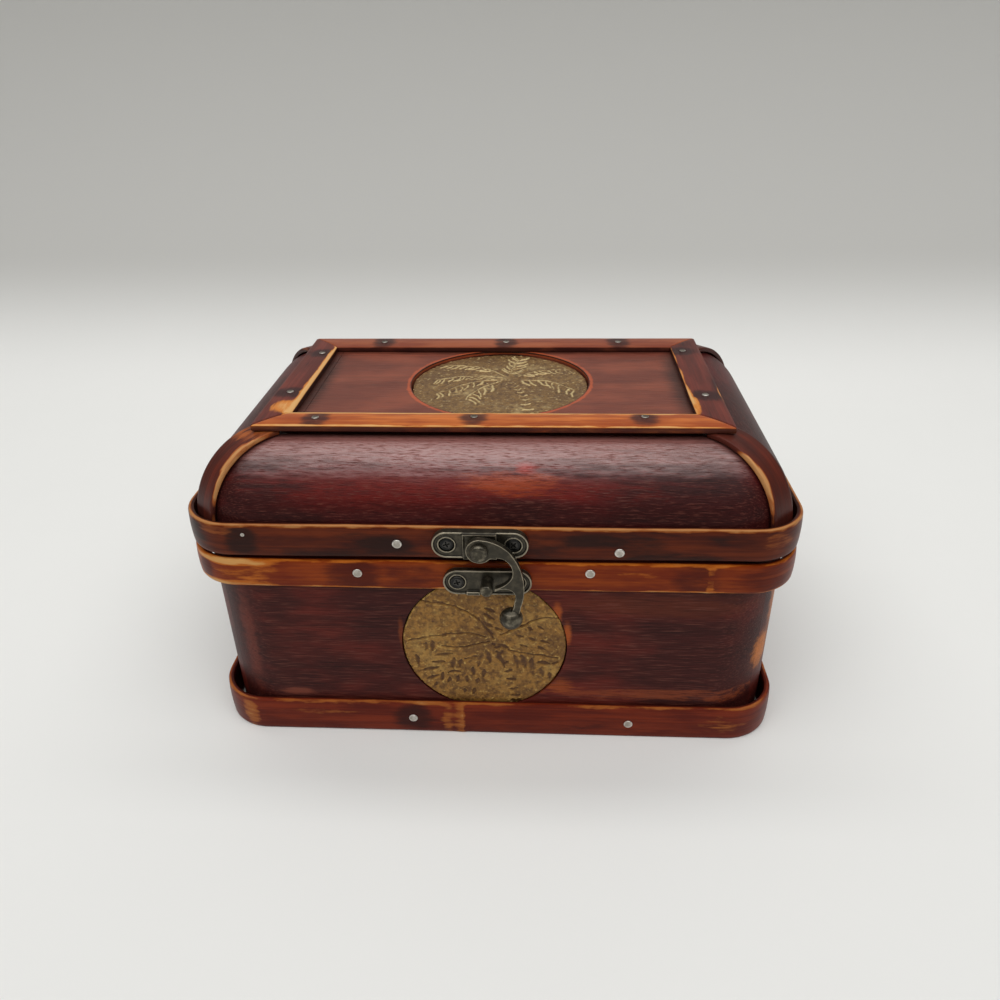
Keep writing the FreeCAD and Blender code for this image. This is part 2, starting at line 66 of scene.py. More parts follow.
Object = bpy.types.Object
Socket = bpy.types.NodeSocket
Tree = bpy.types.ShaderNodeTree
Point = tuple[float, float, float]
Span = tuple[float, float]


class Body(Enum):
    """Bodies of the box that pieces ride on."""

    BASE = "base"
    LID = "lid"
    HOOK = "latch_hook"


class Side(Enum):
    """Sides of the box, with the turn that brings the front to that side."""

    FRONT = 0
    RIGHT = 90
    BACK = 180
    LEFT = 270


class Pick(Enum):
    """Kinds of mesh elements to select, with Blender's select mode for each."""

    VERTS = "VERT"
    EDGES = "EDGE"
    FACES = "FACE"


class Grain(Enum):
    """Which way the fibres of a board run."""

    ALONG_X = (1, 0, 0)
    ALONG_Y = (0, 1, 0)


# Bench: small helpers round Blender's modelling operators


def deselect_all() -> None:
    """Leave nothing selected, so that the next operator acts on new things alone."""
    bpy.ops.object.select_all(action="DESELECT")


def activate(obj: Object) -> None:
    """Select one object alone and make it the active one."""
    deselect_all()
    obj.select_set(True)
    bpy.context.view_layer.objects.active = obj


def name_new(name: str, scale: Sequence[float] = (1, 1, 1)) -> Object:
    """Name the object that the last operator added and put its size and place into its mesh.

    Args:
        name: Name of the object.
        scale: Its size along its own axes, for a primitive of size 1.

    Returns:
        The object.
    """
    obj = bpy.context.object
    obj.name = name
    obj.data.name = name
    obj.scale = scale
    bpy.ops.object.transform_apply(location=True, rotation=True, scale=True)
    return obj


@contextmanager
def editing(obj: Object) -> Iterator[None]:
    """Keep one object in edit mode, all selected, while the block runs.

    Args:
        obj: The mesh object to edit.
    """
    activate(obj)
    bpy.ops.object.mode_set(mode="EDIT")
    bpy.ops.mesh.select_all(action="SELECT")
    yield
    bpy.ops.object.mode_set(mode="OBJECT")


def middle(element: Any) -> Vector:
    """Middle of a vertex, edge or face."""
    if isinstance(element, bmesh.types.BMVert):
        return element.co.copy()
    return sum((vert.co for vert in element.verts), Vector()) / len(element.verts)


def pick(obj: Object, kind: Pick, test: Callable[[Any], bool]) -> None:
    """Select the elements of a mesh in edit mode that pass a test.

    Args:
        obj: The object in edit mode.
        kind: Which elements to go through.
        test: Says whether an element is selected.
    """
    bpy.ops.mesh.select_mode(type=kind.value)
    bpy.ops.mesh.select_all(action="DESELECT")
    mesh = bmesh.from_edit_mesh(obj.data)
    for element in getattr(mesh, kind.name.lower()):
        if test(element):
            element.select_set(True)
    mesh.select_flush_mode()
    bmesh.update_edit_mesh(obj.data)


def pull(offset: Sequence[float]) -> None:
    """Extrude what is selected by an offset."""
    bpy.ops.mesh.extrude_region_move(TRANSFORM_OT_translate={"value": tuple(offset)})


def apply_modifier(obj: Object, kind: str, **settings: Any) -> None:
    """Add a modifier with its settings and apply it.

    Args:
        obj: The object that is changed.
        kind: Blender's name for the modifier's type.
        settings: The modifier's properties.
    """
    activate(obj)
    modifier = obj.modifiers.new(kind.title(), kind)
    for key, value in settings.items():
        setattr(modifier, key, value)
    bpy.ops.object.modifier_apply(modifier=modifier.name)


def soften(obj: Object, width: float, segments: int = 2, angle: float = 35.0) -> None:
    """Round the sharp edges of a piece.

    Args:
        obj: The piece.
        width: Width of the rounding in millimetres.
        segments: Faces across the rounding.
        angle: Edges that turn by more degrees than this are rounded.
    """
    apply_modifier(obj, "BEVEL", width=width, segments=segments, limit_method="ANGLE",
                   angle_limit=math.radians(angle), harden_normals=False)


def combine(obj: Object, other: Object, operation: str) -> None:
    """Join another solid to a piece or cut it away, and drop that solid.

    Args:
        obj: The piece.
        other: The solid that is used up.
        operation: UNION or DIFFERENCE.
    """
    apply_modifier(obj, "BOOLEAN", object=other, operation=operation, solver="MANIFOLD")
    bpy.data.objects.remove(other)


def add_block(name: str, low: Sequence[float], high: Sequence[float]) -> Object:
    """Add a cube primitive between two corners.

    Args:
        name: Name of the piece.
        low: Lowest corner in millimetres.
        high: Highest corner in millimetres.

    Returns:
        The new object, with its place in its mesh.
    """
    deselect_all()
    centre = [(a + b) / 2 for a, b in zip(low, high)]
    size = [b - a for a, b in zip(low, high)]
    bpy.ops.mesh.primitive_cube_add(size=1, location=centre)
    return name_new(name, size)


def add_drum(name: str, radius: float, bottom: float, top: float, sides: int = 32) -> Object:
    """Add an upright cylinder primitive on the Z axis.

    Args:
        name: Name of the piece.
        radius: Radius in millimetres.
        bottom: Height of its lower face.
        top: Height of its upper face.
        sides: Number of sides.

    Returns:
        The new object.
    """
    deselect_all()
    bpy.ops.mesh.primitive_cylinder_add(vertices=sides, radius=radius, depth=top - bottom,
                                        location=(0, 0, (top + bottom) / 2))
    return name_new(name)


def turn_out(obj: Object) -> None:
    """Merge doubled points and point every face of a closed piece outwards."""
    with editing(obj):
        bpy.ops.mesh.remove_doubles(threshold=1e-4)
        bpy.ops.mesh.normals_make_consistent(inside=False)


def move_mesh(obj: Object, matrix: Matrix) -> Object:
    """Turn and shift a piece by putting a matrix into its mesh."""
    activate(obj)
    obj.matrix_world = matrix
    bpy.ops.object.transform_apply(location=True, rotation=True, scale=True)
    return obj


def facing_front(x: float, y: float, z: float) -> Matrix:
    """Matrix that turns +Z to the front and brings the origin to a place."""
    return Matrix.Translation((x, y, z)) @ Matrix.Rotation(math.pi / 2, 4, "X")


def copies(model: Object, name: str, places: Sequence[Matrix]) -> Object:
    """Copy a modelled piece to several places as one group, and drop the model.

    Args:
        model: The piece at the origin.
        name: Name of the group.
        places: Where each copy goes.

    Returns:
        The group as one object.
    """
    made = []
    for place in places:
        copy = model.copy()
        copy.data = model.data.copy()
        bpy.context.scene.collection.objects.link(copy)
        made.append(move_mesh(copy, place))
    bpy.data.objects.remove(model)
    activate(made[0])
    for copy in made:
        copy.select_set(True)
    bpy.ops.object.join()
    return name_new(name)


def points_of(obj: Object) -> np.ndarray:
    """Places of a mesh's points in millimetres, one row each."""
    flat = np.empty(len(obj.data.vertices) * 3)
    obj.data.vertices.foreach_get("co", flat)
    return flat.reshape(-1, 3)


def set_points(obj: Object, points: np.ndarray) -> None:
    """Move a mesh's points to new places."""
    obj.data.vertices.foreach_set("co", points.ravel())
    obj.data.update()


def paint(obj: Object, name: str, values: np.ndarray) -> None:
    """Keep one number or one vector for each point of a mesh, for its finish to read.

    Args:
        obj: The piece.
        name: Name of the attribute.
        values: One row for each point.
    """
    kind, key = ("FLOAT_VECTOR", "vector") if values.ndim == 2 else ("FLOAT", "value")
    attribute = obj.data.attributes.new(name, kind, "POINT")
    attribute.data.foreach_set(key, values.astype(np.float32).ravel())


def proud(obj: Object) -> np.ndarray:
    """How far each point of a piece stands out from its neighbours, 0 on a flat to about 1 on an edge."""
    mesh = bmesh.new()
    mesh.from_mesh(obj.data)
    mesh.normal_update()
    found = np.zeros(len(mesh.verts))
    for index, vert in enumerate(mesh.verts):
        lean = [(vert.co - edge.other_vert(vert).co).normalized().dot(vert.normal)
                for edge in vert.link_edges]
        found[index] = max(lean, default=0.0)
    mesh.free()
    return np.clip(found * 2.5, 0.0, 1.0)


def standing(obj: Object, rounds: int = 10) -> np.ndarray:
    """How far each point of a finely meshed piece stands out from its surroundings.

    Args:
        obj: The piece.
        rounds: How often neighbours are averaged, which sets how wide the surroundings are.

    Returns:
        The distance in millimetres, below 0 in hollows.
    """
    points = points_of(obj)
    ends = np.empty(len(obj.data.edges) * 2, np.int32)
    obj.data.edges.foreach_get("vertices", ends)
    first, second = ends.reshape(-1, 2).T
    count = np.bincount(ends, minlength=len(points))[:, None]
    smooth = points
    for _ in range(rounds):
        total = np.zeros_like(points)
        np.add.at(total, first, smooth[second])
        np.add.at(total, second, smooth[first])
        smooth = total / count
    normals = np.empty(points.size)
    obj.data.vertices.foreach_get("normal", normals)
    return ((points - smooth) * normals.reshape(-1, 3)).sum(1)


def wander(along: np.ndarray, length: float, seed: float) -> np.ndarray:
    """Smooth uneven wave along a strip.

    Args:
        along: Distances along the strip in millimetres.
        length: Length of one wave in millimetres.
        seed: Picks the wave.

    Returns:
        A number between about -1 and 1 for each distance.
    """
    return np.array([noise.noise(Vector((s / length, seed, seed * 0.37))) for s in along])


# Frame: where the nodes of the box are, in millimetres


def box_of(node: str) -> tuple[Vector, Vector]:
    """Lowest and highest corner of a node in millimetres."""
    low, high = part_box(node)
    return low / MM, high / MM


def solids_of(cad: Object) -> list[tuple[Vector, Vector]]:
    """Corners of each separate solid in a node.

    Args:
        cad: The node's object.

    Returns:
        Lowest and highest corner of each solid, in millimetres.
    """
    mesh = bmesh.new()
    mesh.from_mesh(cad.data)
    bmesh.ops.remove_doubles(mesh, verts=mesh.verts, dist=1e-6)
    left = set(mesh.verts)
    boxes = []
    while left:
        island, front = set(), [left.pop()]
        while front:
            vert = front.pop()
            island.add(vert)
            for edge in vert.link_edges:
                other = edge.other_vert(vert)
                if other in left:
                    left.discard(other)
                    front.append(other)
        places = np.array([vert.co for vert in island]) / MM
        boxes.append((Vector(places.min(0)), Vector(places.max(0))))
    mesh.free()
    return sorted(boxes, key=lambda box: tuple(box[0]))


def head_place(low: Vector, high: Vector, head: float) -> Matrix:
    """Where a nail's or screw's head sits, from the corners of its solid.

    Args:
        low: Lowest corner of the fastener.
        high: Highest corner of the fastener.
        head: Height of its head.

    Returns:
        A matrix that brings +Z to the outward direction and the origin under the head.
    """
    size = high - low
    axis = max(range(3), key=lambda i: size[i])
    centre = (low + high) / 2
    out = Vector((0, 0, 0))
    out[axis] = 1.0 if axis == 2 or centre[axis] > 0 else -1.0
    foot = centre + out * (size[axis] / 2 - head)
    return Matrix.Translation(foot) @ out.to_track_quat("Z", "Y").to_matrix().to_4x4()


# Finishes


def linear(code: str) -> tuple[float, float, float, float]:
    """Turn an sRGB hex colour to linear light."""
    values = [int(code[i:i + 2], 16) / 255 for i in (1, 3, 5)]
    light = [v / 12.92 if v <= 0.04045 else ((v + 0.055) / 1.055) ** 2.4 for v in values]
    return light[0], light[1], light[2], 1.0


def feed(tree: Tree, node: bpy.types.Node, values: dict[str | int, Any]) -> None:
    """Set a node's properties, and its inputs by name or number; a socket is linked to its input.

    Args:
        tree: The material's node tree.
        node: The node.
        values: What is set.
    """
    for key, value in values.items():
        if isinstance(value, Socket):
            tree.links.new(value, node.inputs[key])
        elif isinstance(key, int) or key in node.inputs:
            node.inputs[key].default_value = value
        else:
            setattr(node, key, value)


def add_node(tree: Tree, kind: str, values: dict[str | int, Any] | None = None) -> bpy.types.Node:
    """Add a shader node.

    Args:
        tree: The material's node tree.
        kind: Blender's name for the node's type.
        values: Its settings and links, as feed takes them.

    Returns:
        The new node.
    """
    node = tree.nodes.new(kind)
    feed(tree, node, values or {})
    return node


@dataclass(frozen=True)
class Finish:
    """A finish that is made once and shared by the pieces that wear it."""

    name: str

    def material(self) -> bpy.types.Material:
        """Give the material of this finish, made on first use."""
        made = bpy.data.materials.get(self.name)
        if made is None:
            made = bpy.data.materials.new(self.name)
            made.use_nodes = True
            self.shade(made.node_tree, made.node_tree.nodes["Principled BSDF"])
        return made

    def shade(self, tree: Tree, shader: bpy.types.Node) -> None:
        """Build the finish's nodes into the shader."""
        raise NotImplementedError


def place_in_mm(tree: Tree) -> Socket:
    """Object coordinates of a material, in millimetres."""
    coordinates = add_node(tree, "ShaderNodeTexCoord").outputs["Object"]
    scaling = {"operation": "SCALE", "Scale": 1 / MM, 0: coordinates}
    return add_node(tree, "ShaderNodeVectorMath", scaling).outputs[0]


def stretched(tree: Tree, place: Socket, size: Sequence[float], detail: float = 3.0) -> Socket:
    """Noise with its own size along each axis.

    Args:
        tree: The material's node tree.
        place: Coordinates in millimetres.
        size: Size of the pattern along the three axes, in millimetres.
        detail: Octaves of finer noise.

    Returns:
        The strength, about 0 to 1.
    """
    scaled = add_node(tree, "ShaderNodeVectorMath", {"operation": "DIVIDE", 0: place, 1: tuple(size)})
    return add_node(tree, "ShaderNodeTexNoise", {
        "Vector": scaled.outputs[0], "Scale": 1.0, "Detail": detail, "Roughness": 0.6,
    }).outputs["Fac"]


def masked(tree: Tree, pattern: Socket, ease: Span, share: Socket | float = 1.0) -> Socket:
    """Turn a pattern to a strength with soft ends.

    Args:
        tree: The material's node tree.
        pattern: The pattern.
        ease: Its value where the strength is 0, and its value where the strength is full.
        share: The full strength.

    Returns:
        The strength at each place.
    """
    eased = add_node(tree, "ShaderNodeMapRange", {
        "interpolation_type": "SMOOTHSTEP", "Value": pattern, "From Min": ease[0], "From Max": ease[1],
    }).outputs["Result"]
    return add_node(tree, "ShaderNodeMath", {
        "operation": "MULTIPLY", "use_clamp": True, 0: eased, 1: share,
    }).outputs[0]


def layered(tree: Tree, under: Socket | str, over: str, pattern: Socket, ease: Span,
            share: Socket | float = 1.0) -> Socket:
    """Lay a tone over a colour where a pattern is strong.

    Args:
        tree: The material's node tree.
        under: The colour below, as a socket or a hex value.
        over: The hex tone on top.
        pattern: The pattern.
        ease: Values of the pattern where the tone starts and where it is full.
        share: How much of the tone shows at most.

    Returns:
        The mixed colour.
    """
    below = linear(under) if isinstance(under, str) else under
    return add_node(tree, "ShaderNodeMix", {
        "data_type": "RGBA", 0: masked(tree, pattern, ease, share), 6: below, 7: linear(over),
    }).outputs[2]


def raise_grain(tree: Tree, shader: bpy.types.Node, height: Socket, depth: float, strength: float) -> None:
    """Let a pattern stand up from the surface.

    Args:
        tree: The material's node tree.
        shader: The shader that shows it.
        height: The pattern.
        depth: Its depth in millimetres.
        strength: How much of it shows.
    """
    bump = add_node(tree, "ShaderNodeBump", {"Strength": strength, "Distance": depth * MM, "Height": height})
    for layer in ("Normal", "Coat Normal"):
        tree.links.new(bump.outputs["Normal"], shader.inputs[layer])


@dataclass(frozen=True)
class Patch:
    """A place of another tone, used for stains, wear, painted shade and painted sheen: a ragged ellipsoid,
    or a ragged ring where ring is given.

    Attributes:
        centre: Its middle in millimetres.
        reach: Its half sizes in millimetres.
        tone: Its hex colour.
        strength: How much of that colour shows.
        ring: Half width of the ring as a share of the reach, or 0 for a full patch.
        ragged: How far the grain breaks up its edge, as a share of the reach.
    """

    centre: Point
    reach: Point
    tone: str
    strength: float = 0.8
    ring: float = 0.0
    ragged: float = 0.9

    def distance(self, tree: Tree, place: Socket, rough: Socket) -> Socket:
        """Build the distance from the patch's middle, or from the middle of its ring.

        Args:
            tree: The material's node tree.
            place: Coordinates in millimetres.
            rough: Noise that breaks up the edge.

        Returns:
            The distance, about 1 at the ragged edge.
        """
        moved = add_node(tree, "ShaderNodeVectorMath", {"operation": "SUBTRACT", 0: place, 1: self.centre})
        scaled = add_node(tree, "ShaderNodeVectorMath", {
            "operation": "DIVIDE", 0: moved.outputs[0], 1: self.reach,
        })
        far = add_node(tree, "ShaderNodeVectorMath", {
            "operation": "LENGTH", 0: scaled.outputs[0],
        }).outputs["Value"]
        if self.ring:
            off = add_node(tree, "ShaderNodeMath", {"operation": "SUBTRACT", 0: far, 1: 1.0}).outputs[0]
            off = add_node(tree, "ShaderNodeMath", {"operation": "ABSOLUTE", 0: off}).outputs[0]
            far = add_node(tree, "ShaderNodeMath", {"operation": "DIVIDE", 0: off, 1: self.ring}).outputs[0]
        centred = add_node(tree, "ShaderNodeMath", {"operation": "SUBTRACT", 0: rough, 1: 0.5}).outputs[0]
        return add_node(tree, "ShaderNodeMath", {
            "operation": "MULTIPLY_ADD", 0: centred, 1: self.ragged * 2, 2: far,
        }).outputs[0]


# Distances at which a patch starts and at which it is full
PATCH_EDGE = (1.0, 0.35)


@dataclass(frozen=True)
class StainedBoard(Finish):
    """Planed softwood, stained oxblood and wiped with satin varnish.

    The eye sees a dark red-brown ground with short pale pores along the grain, a soft grey sheen where it
    turns to the light, and orange wood where hands and edges have rubbed the stain off. On the lid's roll
    that sheen is partly painted into the colour, and the top panel has painted shade along its frame. The
    pores are drawn coarser than real ones, which are too fine to show.

    Attributes:
        grain: Which way the fibres run.
        deep: Ground of the stain.
        warm: Clouds of thinner stain.
        dark: Streaks and pores full of stain.
        pore: Pores that the stain has left pale.
        patches: Its stained and worn places, and its places of painted sheen and painted shade.
        polished: The place with a sheen, of which the tone isn't used.
        gloss: Specular level of the varnish.
        polish: What the sheen adds to that level.
        roughness: Roughness of the varnish.
        rib_depth: Depth of the pores in millimetres.
        pore_length: Length of a pore in millimetres, and so on for the other patterns.
    """

    grain: Grain = Grain.ALONG_X
    deep: str = "#3f1815"
    warm: str = "#61221a"
    dark: str = "#1f0d0c"
    pore: str = "#7d4a3d"
    patches: tuple[Patch, ...] = ()
    polished: Patch | None = None
    gloss: float = 0.12
    polish: float = 1.5
    roughness: float = 0.42
    rib_depth: float = 0.1
    pore_length: float = 9.0
    pore_width: float = 0.45
    streak_length: float = 60.0
    streak_width: float = 3.0
    cloud_length: float = 54.4
    cloud_width: float = 23.8
    fray_length: float = 9.0
    fray_width: float = 1.5

    def pattern(self, tree: Tree, place: Socket, length: float, width: float, detail: float = 3.0) -> Socket:
        """Noise with a length along the grain and a width across it."""
        return stretched(tree, place, [length if along else width for along in self.grain.value], detail)

    def shade(self, tree: Tree, shader: bpy.types.Node) -> None:
        """Build the stain, its pores and its worn places."""
        place = place_in_mm(tree)
        pores = self.pattern(tree, place, self.pore_length, self.pore_width, 2.0)
        streaks = self.pattern(tree, place, self.streak_length, self.streak_width)
        clouds = self.pattern(tree, place, self.cloud_length, self.cloud_width)
        fray = self.pattern(tree, place, self.fray_length, self.fray_width, 4.0)
        rough: Socket | float = 0.0
        for noise_part, weight in ((streaks, 0.3), (pores, 0.3), (fray, 0.4)):
            rough = add_node(tree, "ShaderNodeMath", {
                "operation": "MULTIPLY_ADD", 0: noise_part, 1: weight, 2: rough,
            }).outputs[0]
        colour = layered(tree, self.deep, self.warm, clouds, (0.42, 0.66))
        colour = layered(tree, colour, self.dark, streaks, (0.48, 0.7), 0.4)
        for patch in self.patches:
            far = patch.distance(tree, place, rough)
            colour = layered(tree, colour, patch.tone, far, PATCH_EDGE, patch.strength)
        colour = layered(tree, colour, self.pore, pores, (0.52, 0.75), 0.4)
        colour = layered(tree, colour, self.dark, pores, (0.48, 0.28), 0.55)
        feed(tree, shader, {
            "Base Color": colour, "Roughness": self.roughness, "Specular IOR Level": self.gloss,
        })
        if self.polished:
            far = self.polished.distance(tree, place, rough)
            sheen = masked(tree, pores, (0.28, 0.62), masked(tree, far, PATCH_EDGE, self.polished.strength))
            level = add_node(tree, "ShaderNodeMath", {
                "operation": "MULTIPLY_ADD", 0: sheen, 1: self.polish, 2: self.gloss,
            })
            feed(tree, shader, {
                "Specular IOR Level": level.outputs[0], "Coat Weight": sheen,
                "Coat Roughness": self.roughness,
            })
        raise_grain(tree, shader, pores, self.rib_depth, 0.9)


@dataclass(frozen=True)
class ScorchedBamboo(Finish):
    """Split bamboo, scorched with a torch, stained and varnished.

    The eye sees long amber and brown fibres under a clear gloss, burnt purple-brown blotches round the nails
    and pale straw along the edges, where scraping has bared the inner wood. The sides of a strip, which lie
    out of the light, are darkened in the burnt tone as painted shade. The fibres are drawn coarser than real
    ones, so that they show.

    Attributes:
        pale: Thinly stained fibres.
        deep: Deeply stained fibres.
        burnt: Scorched places, and the painted shade on a strip's sides.
        amber: Half-bared wood.
        bare: Bared wood.
        char: How far its own blotches are scorched, 0 to 1.
        gloss: Specular level of the varnish.
        roughness: Roughness of the varnish.
        fibre_length: Length of a fibre in millimetres, and so on for the other patterns.
    """

    pale: str = "#bd6a31"
    deep: str = "#8a3a1f"
    burnt: str = "#2c1516"
    amber: str = "#b3602a"
    bare: str = "#d3a468"
    char: float = 0.25
    gloss: float = 0.12
    roughness: float = 0.36
    fibre_length: float = 55.0
    fibre_width: float = 0.8
    fibre_depth: float = 0.1
    streak_length: float = 80.0
    streak_width: float = 2.6
    blotch_length: float = 34.0
    blotch_width: float = 7.0
    ragged: Point = (12.0, 2.4, 4.0)

    def shade(self, tree: Tree, shader: bpy.types.Node) -> None:
        """Build the fibres, the scorched blotches and the bared edges."""
        place = add_node(tree, "ShaderNodeAttribute", {"attribute_name": "strip"}).outputs["Vector"]
        # The scorch attribute holds scorch marks and also the painted shade on a strip's sides
        scorch = add_node(tree, "ShaderNodeAttribute", {"attribute_name": "scorch"}).outputs["Fac"]
        bare = add_node(tree, "ShaderNodeAttribute", {"attribute_name": "bare"}).outputs["Fac"]
        fibres = stretched(tree, place, (self.fibre_length, self.fibre_width, self.fibre_width), 2.0)
        streaks = stretched(tree, place, (self.streak_length, self.streak_width, self.streak_width))
        blotch = stretched(tree, place, (self.blotch_length, self.blotch_width, self.blotch_width))
        ragged = stretched(tree, place, self.ragged, 4.0)
        colour = layered(tree, self.pale, self.deep, blotch, (0.34, 0.66))
        colour = layered(tree, colour, self.deep, streaks, (0.44, 0.66), 0.6)
        colour = layered(tree, colour, self.deep, fibres, (0.5, 0.7), 0.5)
        colour = layered(tree, colour, self.pale, fibres, (0.46, 0.3), 0.5)
        charred = masked(tree, blotch, (0.72 - 0.3 * self.char, 0.8 - 0.2 * self.char), 0.748)
        broken = add_node(tree, "ShaderNodeMath", {"operation": "ADD", 0: scorch, 1: ragged}).outputs[0]
        scorched = masked(tree, broken, (0.72, 1.3), 0.88)
        burnt = add_node(tree, "ShaderNodeMath", {"operation": "MAXIMUM", 0: charred, 1: scorched}).outputs[0]
        colour = add_node(tree, "ShaderNodeMix", {
            "data_type": "RGBA", 0: burnt, 6: colour, 7: linear(self.burnt),
        }).outputs[2]
        rubbed = add_node(tree, "ShaderNodeMath", {"operation": "ADD", 0: ragged, 1: bare}).outputs[0]
        colour = layered(tree, colour, self.amber, rubbed, (0.82, 1.08), 0.9)
        colour = layered(tree, colour, self.bare, rubbed, (1.08, 1.36), 0.9)
        feed(tree, shader, {
            "Base Color": colour, "Roughness": self.roughness, "Specular IOR Level": self.gloss,
        })
        raise_grain(tree, shader, fibres, self.fibre_depth, 0.6)


@dataclass(frozen=True)
class GiltCasting(Finish):
    """Cast resin, brushed with gold paint and wiped with brown glaze.

    The eye sees a mottled old gold with little gloss, brown in every groove and brighter on what stands up.
    On the top disc, part of the brightness on the raised lines and part of the dark beside them are painted
    highlight and painted shadow, and the rim is painted lighter most towards the upper left as a painted
    highlight.

    Attributes:
        gold: The paint.
        dull: Worn paint.
        glaze: Brown left in grooves and pits, and painted shadow beside the top disc's raised lines.
        bright: Paint rubbed bright on what stands up, and a painted highlight on the top disc's raised lines
            and on the rims, most towards the upper left.
        metallic: How much of it looks like metal.
        roughness: Roughness of the paint.
        wide_size: Size of its wide clouds in millimetres.
        mottle_size: Size of its mottle.
        fleck_size: Size of its pits.
        fleck_depth: Depth of its pits.
    """

    gold: str = "#a98550"
    dull: str = "#7f5f38"
    glaze: str = "#5a3a1c"
    bright: str = "#cdb27a"
    metallic: float = 0.35
    roughness: float = 0.5
    wide_size: float = 15.0
    mottle_size: float = 2.0
    fleck_size: float = 0.7
    fleck_depth: float = 0.1

    def shade(self, tree: Tree, shader: bpy.types.Node) -> None:
        """Build the gold, its glaze in the grooves and its mottle."""
        place = place_in_mm(tree)
        relief = add_node(tree, "ShaderNodeAttribute", {"attribute_name": "relief"}).outputs["Fac"]
        mottle = stretched(tree, place, (self.mottle_size,) * 3)
        fleck = stretched(tree, place, (self.fleck_size,) * 3)
        wide = stretched(tree, place, (self.wide_size,) * 3)
        colour = layered(tree, self.gold, self.dull, mottle, (0.36, 0.7))
        colour = layered(tree, colour, self.dull, wide, (0.5, 0.36), 0.6)
        colour = layered(tree, colour, self.bright, wide, (0.54, 0.72), 0.4)
        colour = layered(tree, colour, self.glaze, fleck, (0.56, 0.74), 0.5)
        colour = layered(tree, colour, self.glaze, relief, (0.44, 0.05), 0.85)
        colour = layered(tree, colour, self.bright, relief, (0.56, 0.95), 0.85)
        feed(tree, shader, {"Base Color": colour, "Metallic": self.metallic, "Roughness": self.roughness})
        raise_grain(tree, shader, fleck, self.fleck_depth, 0.6)


@dataclass(frozen=True)
class WornMetal(Finish):
    """Cast or stamped metal with an aged or blackened surface.

    The eye sees a dark, half-dull skin with cloudy patches, black in the hollows, and rubbed bright along
    edges and on what is touched.

    Attributes:
        skin: The aged surface.
        cloud: Its lighter clouds.
        grime: Dirt in hollows.
        bright: Metal rubbed bright.
        metallic: How much of it looks like bare metal.
        roughness: Its roughness.
        rub: How bright its edges are rubbed.
        dent: Depth of its small dents in millimetres.
        cloud_size: Size of its clouds and dents in millimetres.
    """

    skin: str = "#3e392f"
    cloud: str = "#575041"
    grime: str = "#12100d"
    bright: str = "#b5aa93"
    metallic: float = 0.6
    roughness: float = 0.4
    rub: float = 0.9
    dent: float = 0.06
    cloud_size: float = 2.2

    def shade(self, tree: Tree, shader: bpy.types.Node) -> None:
        """Build the skin, its clouds and its rubbed edges."""
        height = add_node(tree, "ShaderNodeAttribute", {"attribute_name": "proud"}).outputs["Fac"]
        clouds = stretched(tree, place_in_mm(tree), (self.cloud_size,) * 3, 4.0)
        worn = add_node(tree, "ShaderNodeMath", {"operation": "ADD", 0: clouds, 1: height}).outputs[0]
        colour = layered(tree, self.skin, self.cloud, clouds, (0.4, 0.7))
        colour = layered(tree, colour, self.grime, height, (-0.1, -0.8), 0.8)
        colour = layered(tree, colour, self.bright, worn, (0.8, 1.45), self.rub)
        feed(tree, shader, {"Base Color": colour, "Metallic": self.metallic, "Roughness": self.roughness})
        raise_grain(tree, shader, clouds, self.dent, 0.5)


@dataclass(frozen=True)
class StudioPaper(Finish):
    """Matt paper sweep: a pale floor that takes a soft shadow, and painted shade where it rises behind.

    Attributes:
        tone: The floor.
        mottle: Faint clouds in it.
        wall_shade: Painted shade on the paper behind, a greyer tone.
        mottle_size: Size of the clouds in millimetres.
        rise: Heights in millimetres between which the painted shade comes in.
    """

    tone: str = "#eeeeeb"
    mottle: str = "#eaeae7"
    wall_shade: str = "#b8b7b3"
    mottle_size: float = 180.0
    rise: Span = (-20.0, 75.0)

    def shade(self, tree: Tree, shader: bpy.types.Node) -> None:
        """Build the paper's nearly even tone and the painted shade where it rises."""
        place = place_in_mm(tree)
        mottle = stretched(tree, place, (self.mottle_size,) * 3)
        height = add_node(tree, "ShaderNodeSeparateXYZ", {0: place}).outputs["Z"]
        colour = add_node(tree, "ShaderNodeMix", {
            "data_type": "RGBA", 0: mottle, 6: linear(self.tone), 7: linear(self.mottle),
        }).outputs[2]
        # Painted shade: the paper is painted greyer as it rises behind, where less light falls on it
        colour = layered(tree, colour, self.wall_shade, height, self.rise)
        feed(tree, shader, {"Base Color": colour, "Roughness": 0.9, "Specular IOR Level": 0.1})


def settle(obj: Object, body: Body, finish: Finish, node: str) -> None:
    """Turn a finished piece to metres, dress it and let it ride on its body.

    Args:
        obj: The piece, modelled in millimetres.
        body: The body that carries it.
        finish: What it wears.
        node: The node of the box that it stands for.
    """
    move_mesh(obj, Matrix.Scale(MM, 4))
    bpy.ops.object.shade_smooth_by_angle(angle=math.radians(40))
    obj.data.materials.clear()
    obj.data.materials.append(finish.material())
    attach(obj, body.value)
    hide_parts(node)
    log.info("%s: %d points on %s", obj.name, len(obj.data.vertices), body.value)


# Bamboo pieces


@dataclass(frozen=True)
class Blot:
    """Scorched or worn place on a strip, in millimetres along and across it."""

    along: float
    across: float = 0.0
    length: float = 9.0
    width: float = 8.0
    strength: float = 0.8


def blotted(along: np.ndarray, across: np.ndarray, places: Sequence[Blot]) -> np.ndarray:
    """Strength of the nearest blot at each point of a strip.

    Args:
        along: Distance of each point along the strip.
        across: Distance of each point across it.
        places: The blots.

    Returns:
        The strength, 0 far from every blot.
    """
    found = np.zeros(len(along))
    for blot in places:
        off = ((along - blot.along) / blot.length) ** 2 + ((across - blot.across) / blot.width) ** 2
        found = np.maximum(found, blot.strength * np.exp(-off ** 2))
    return found


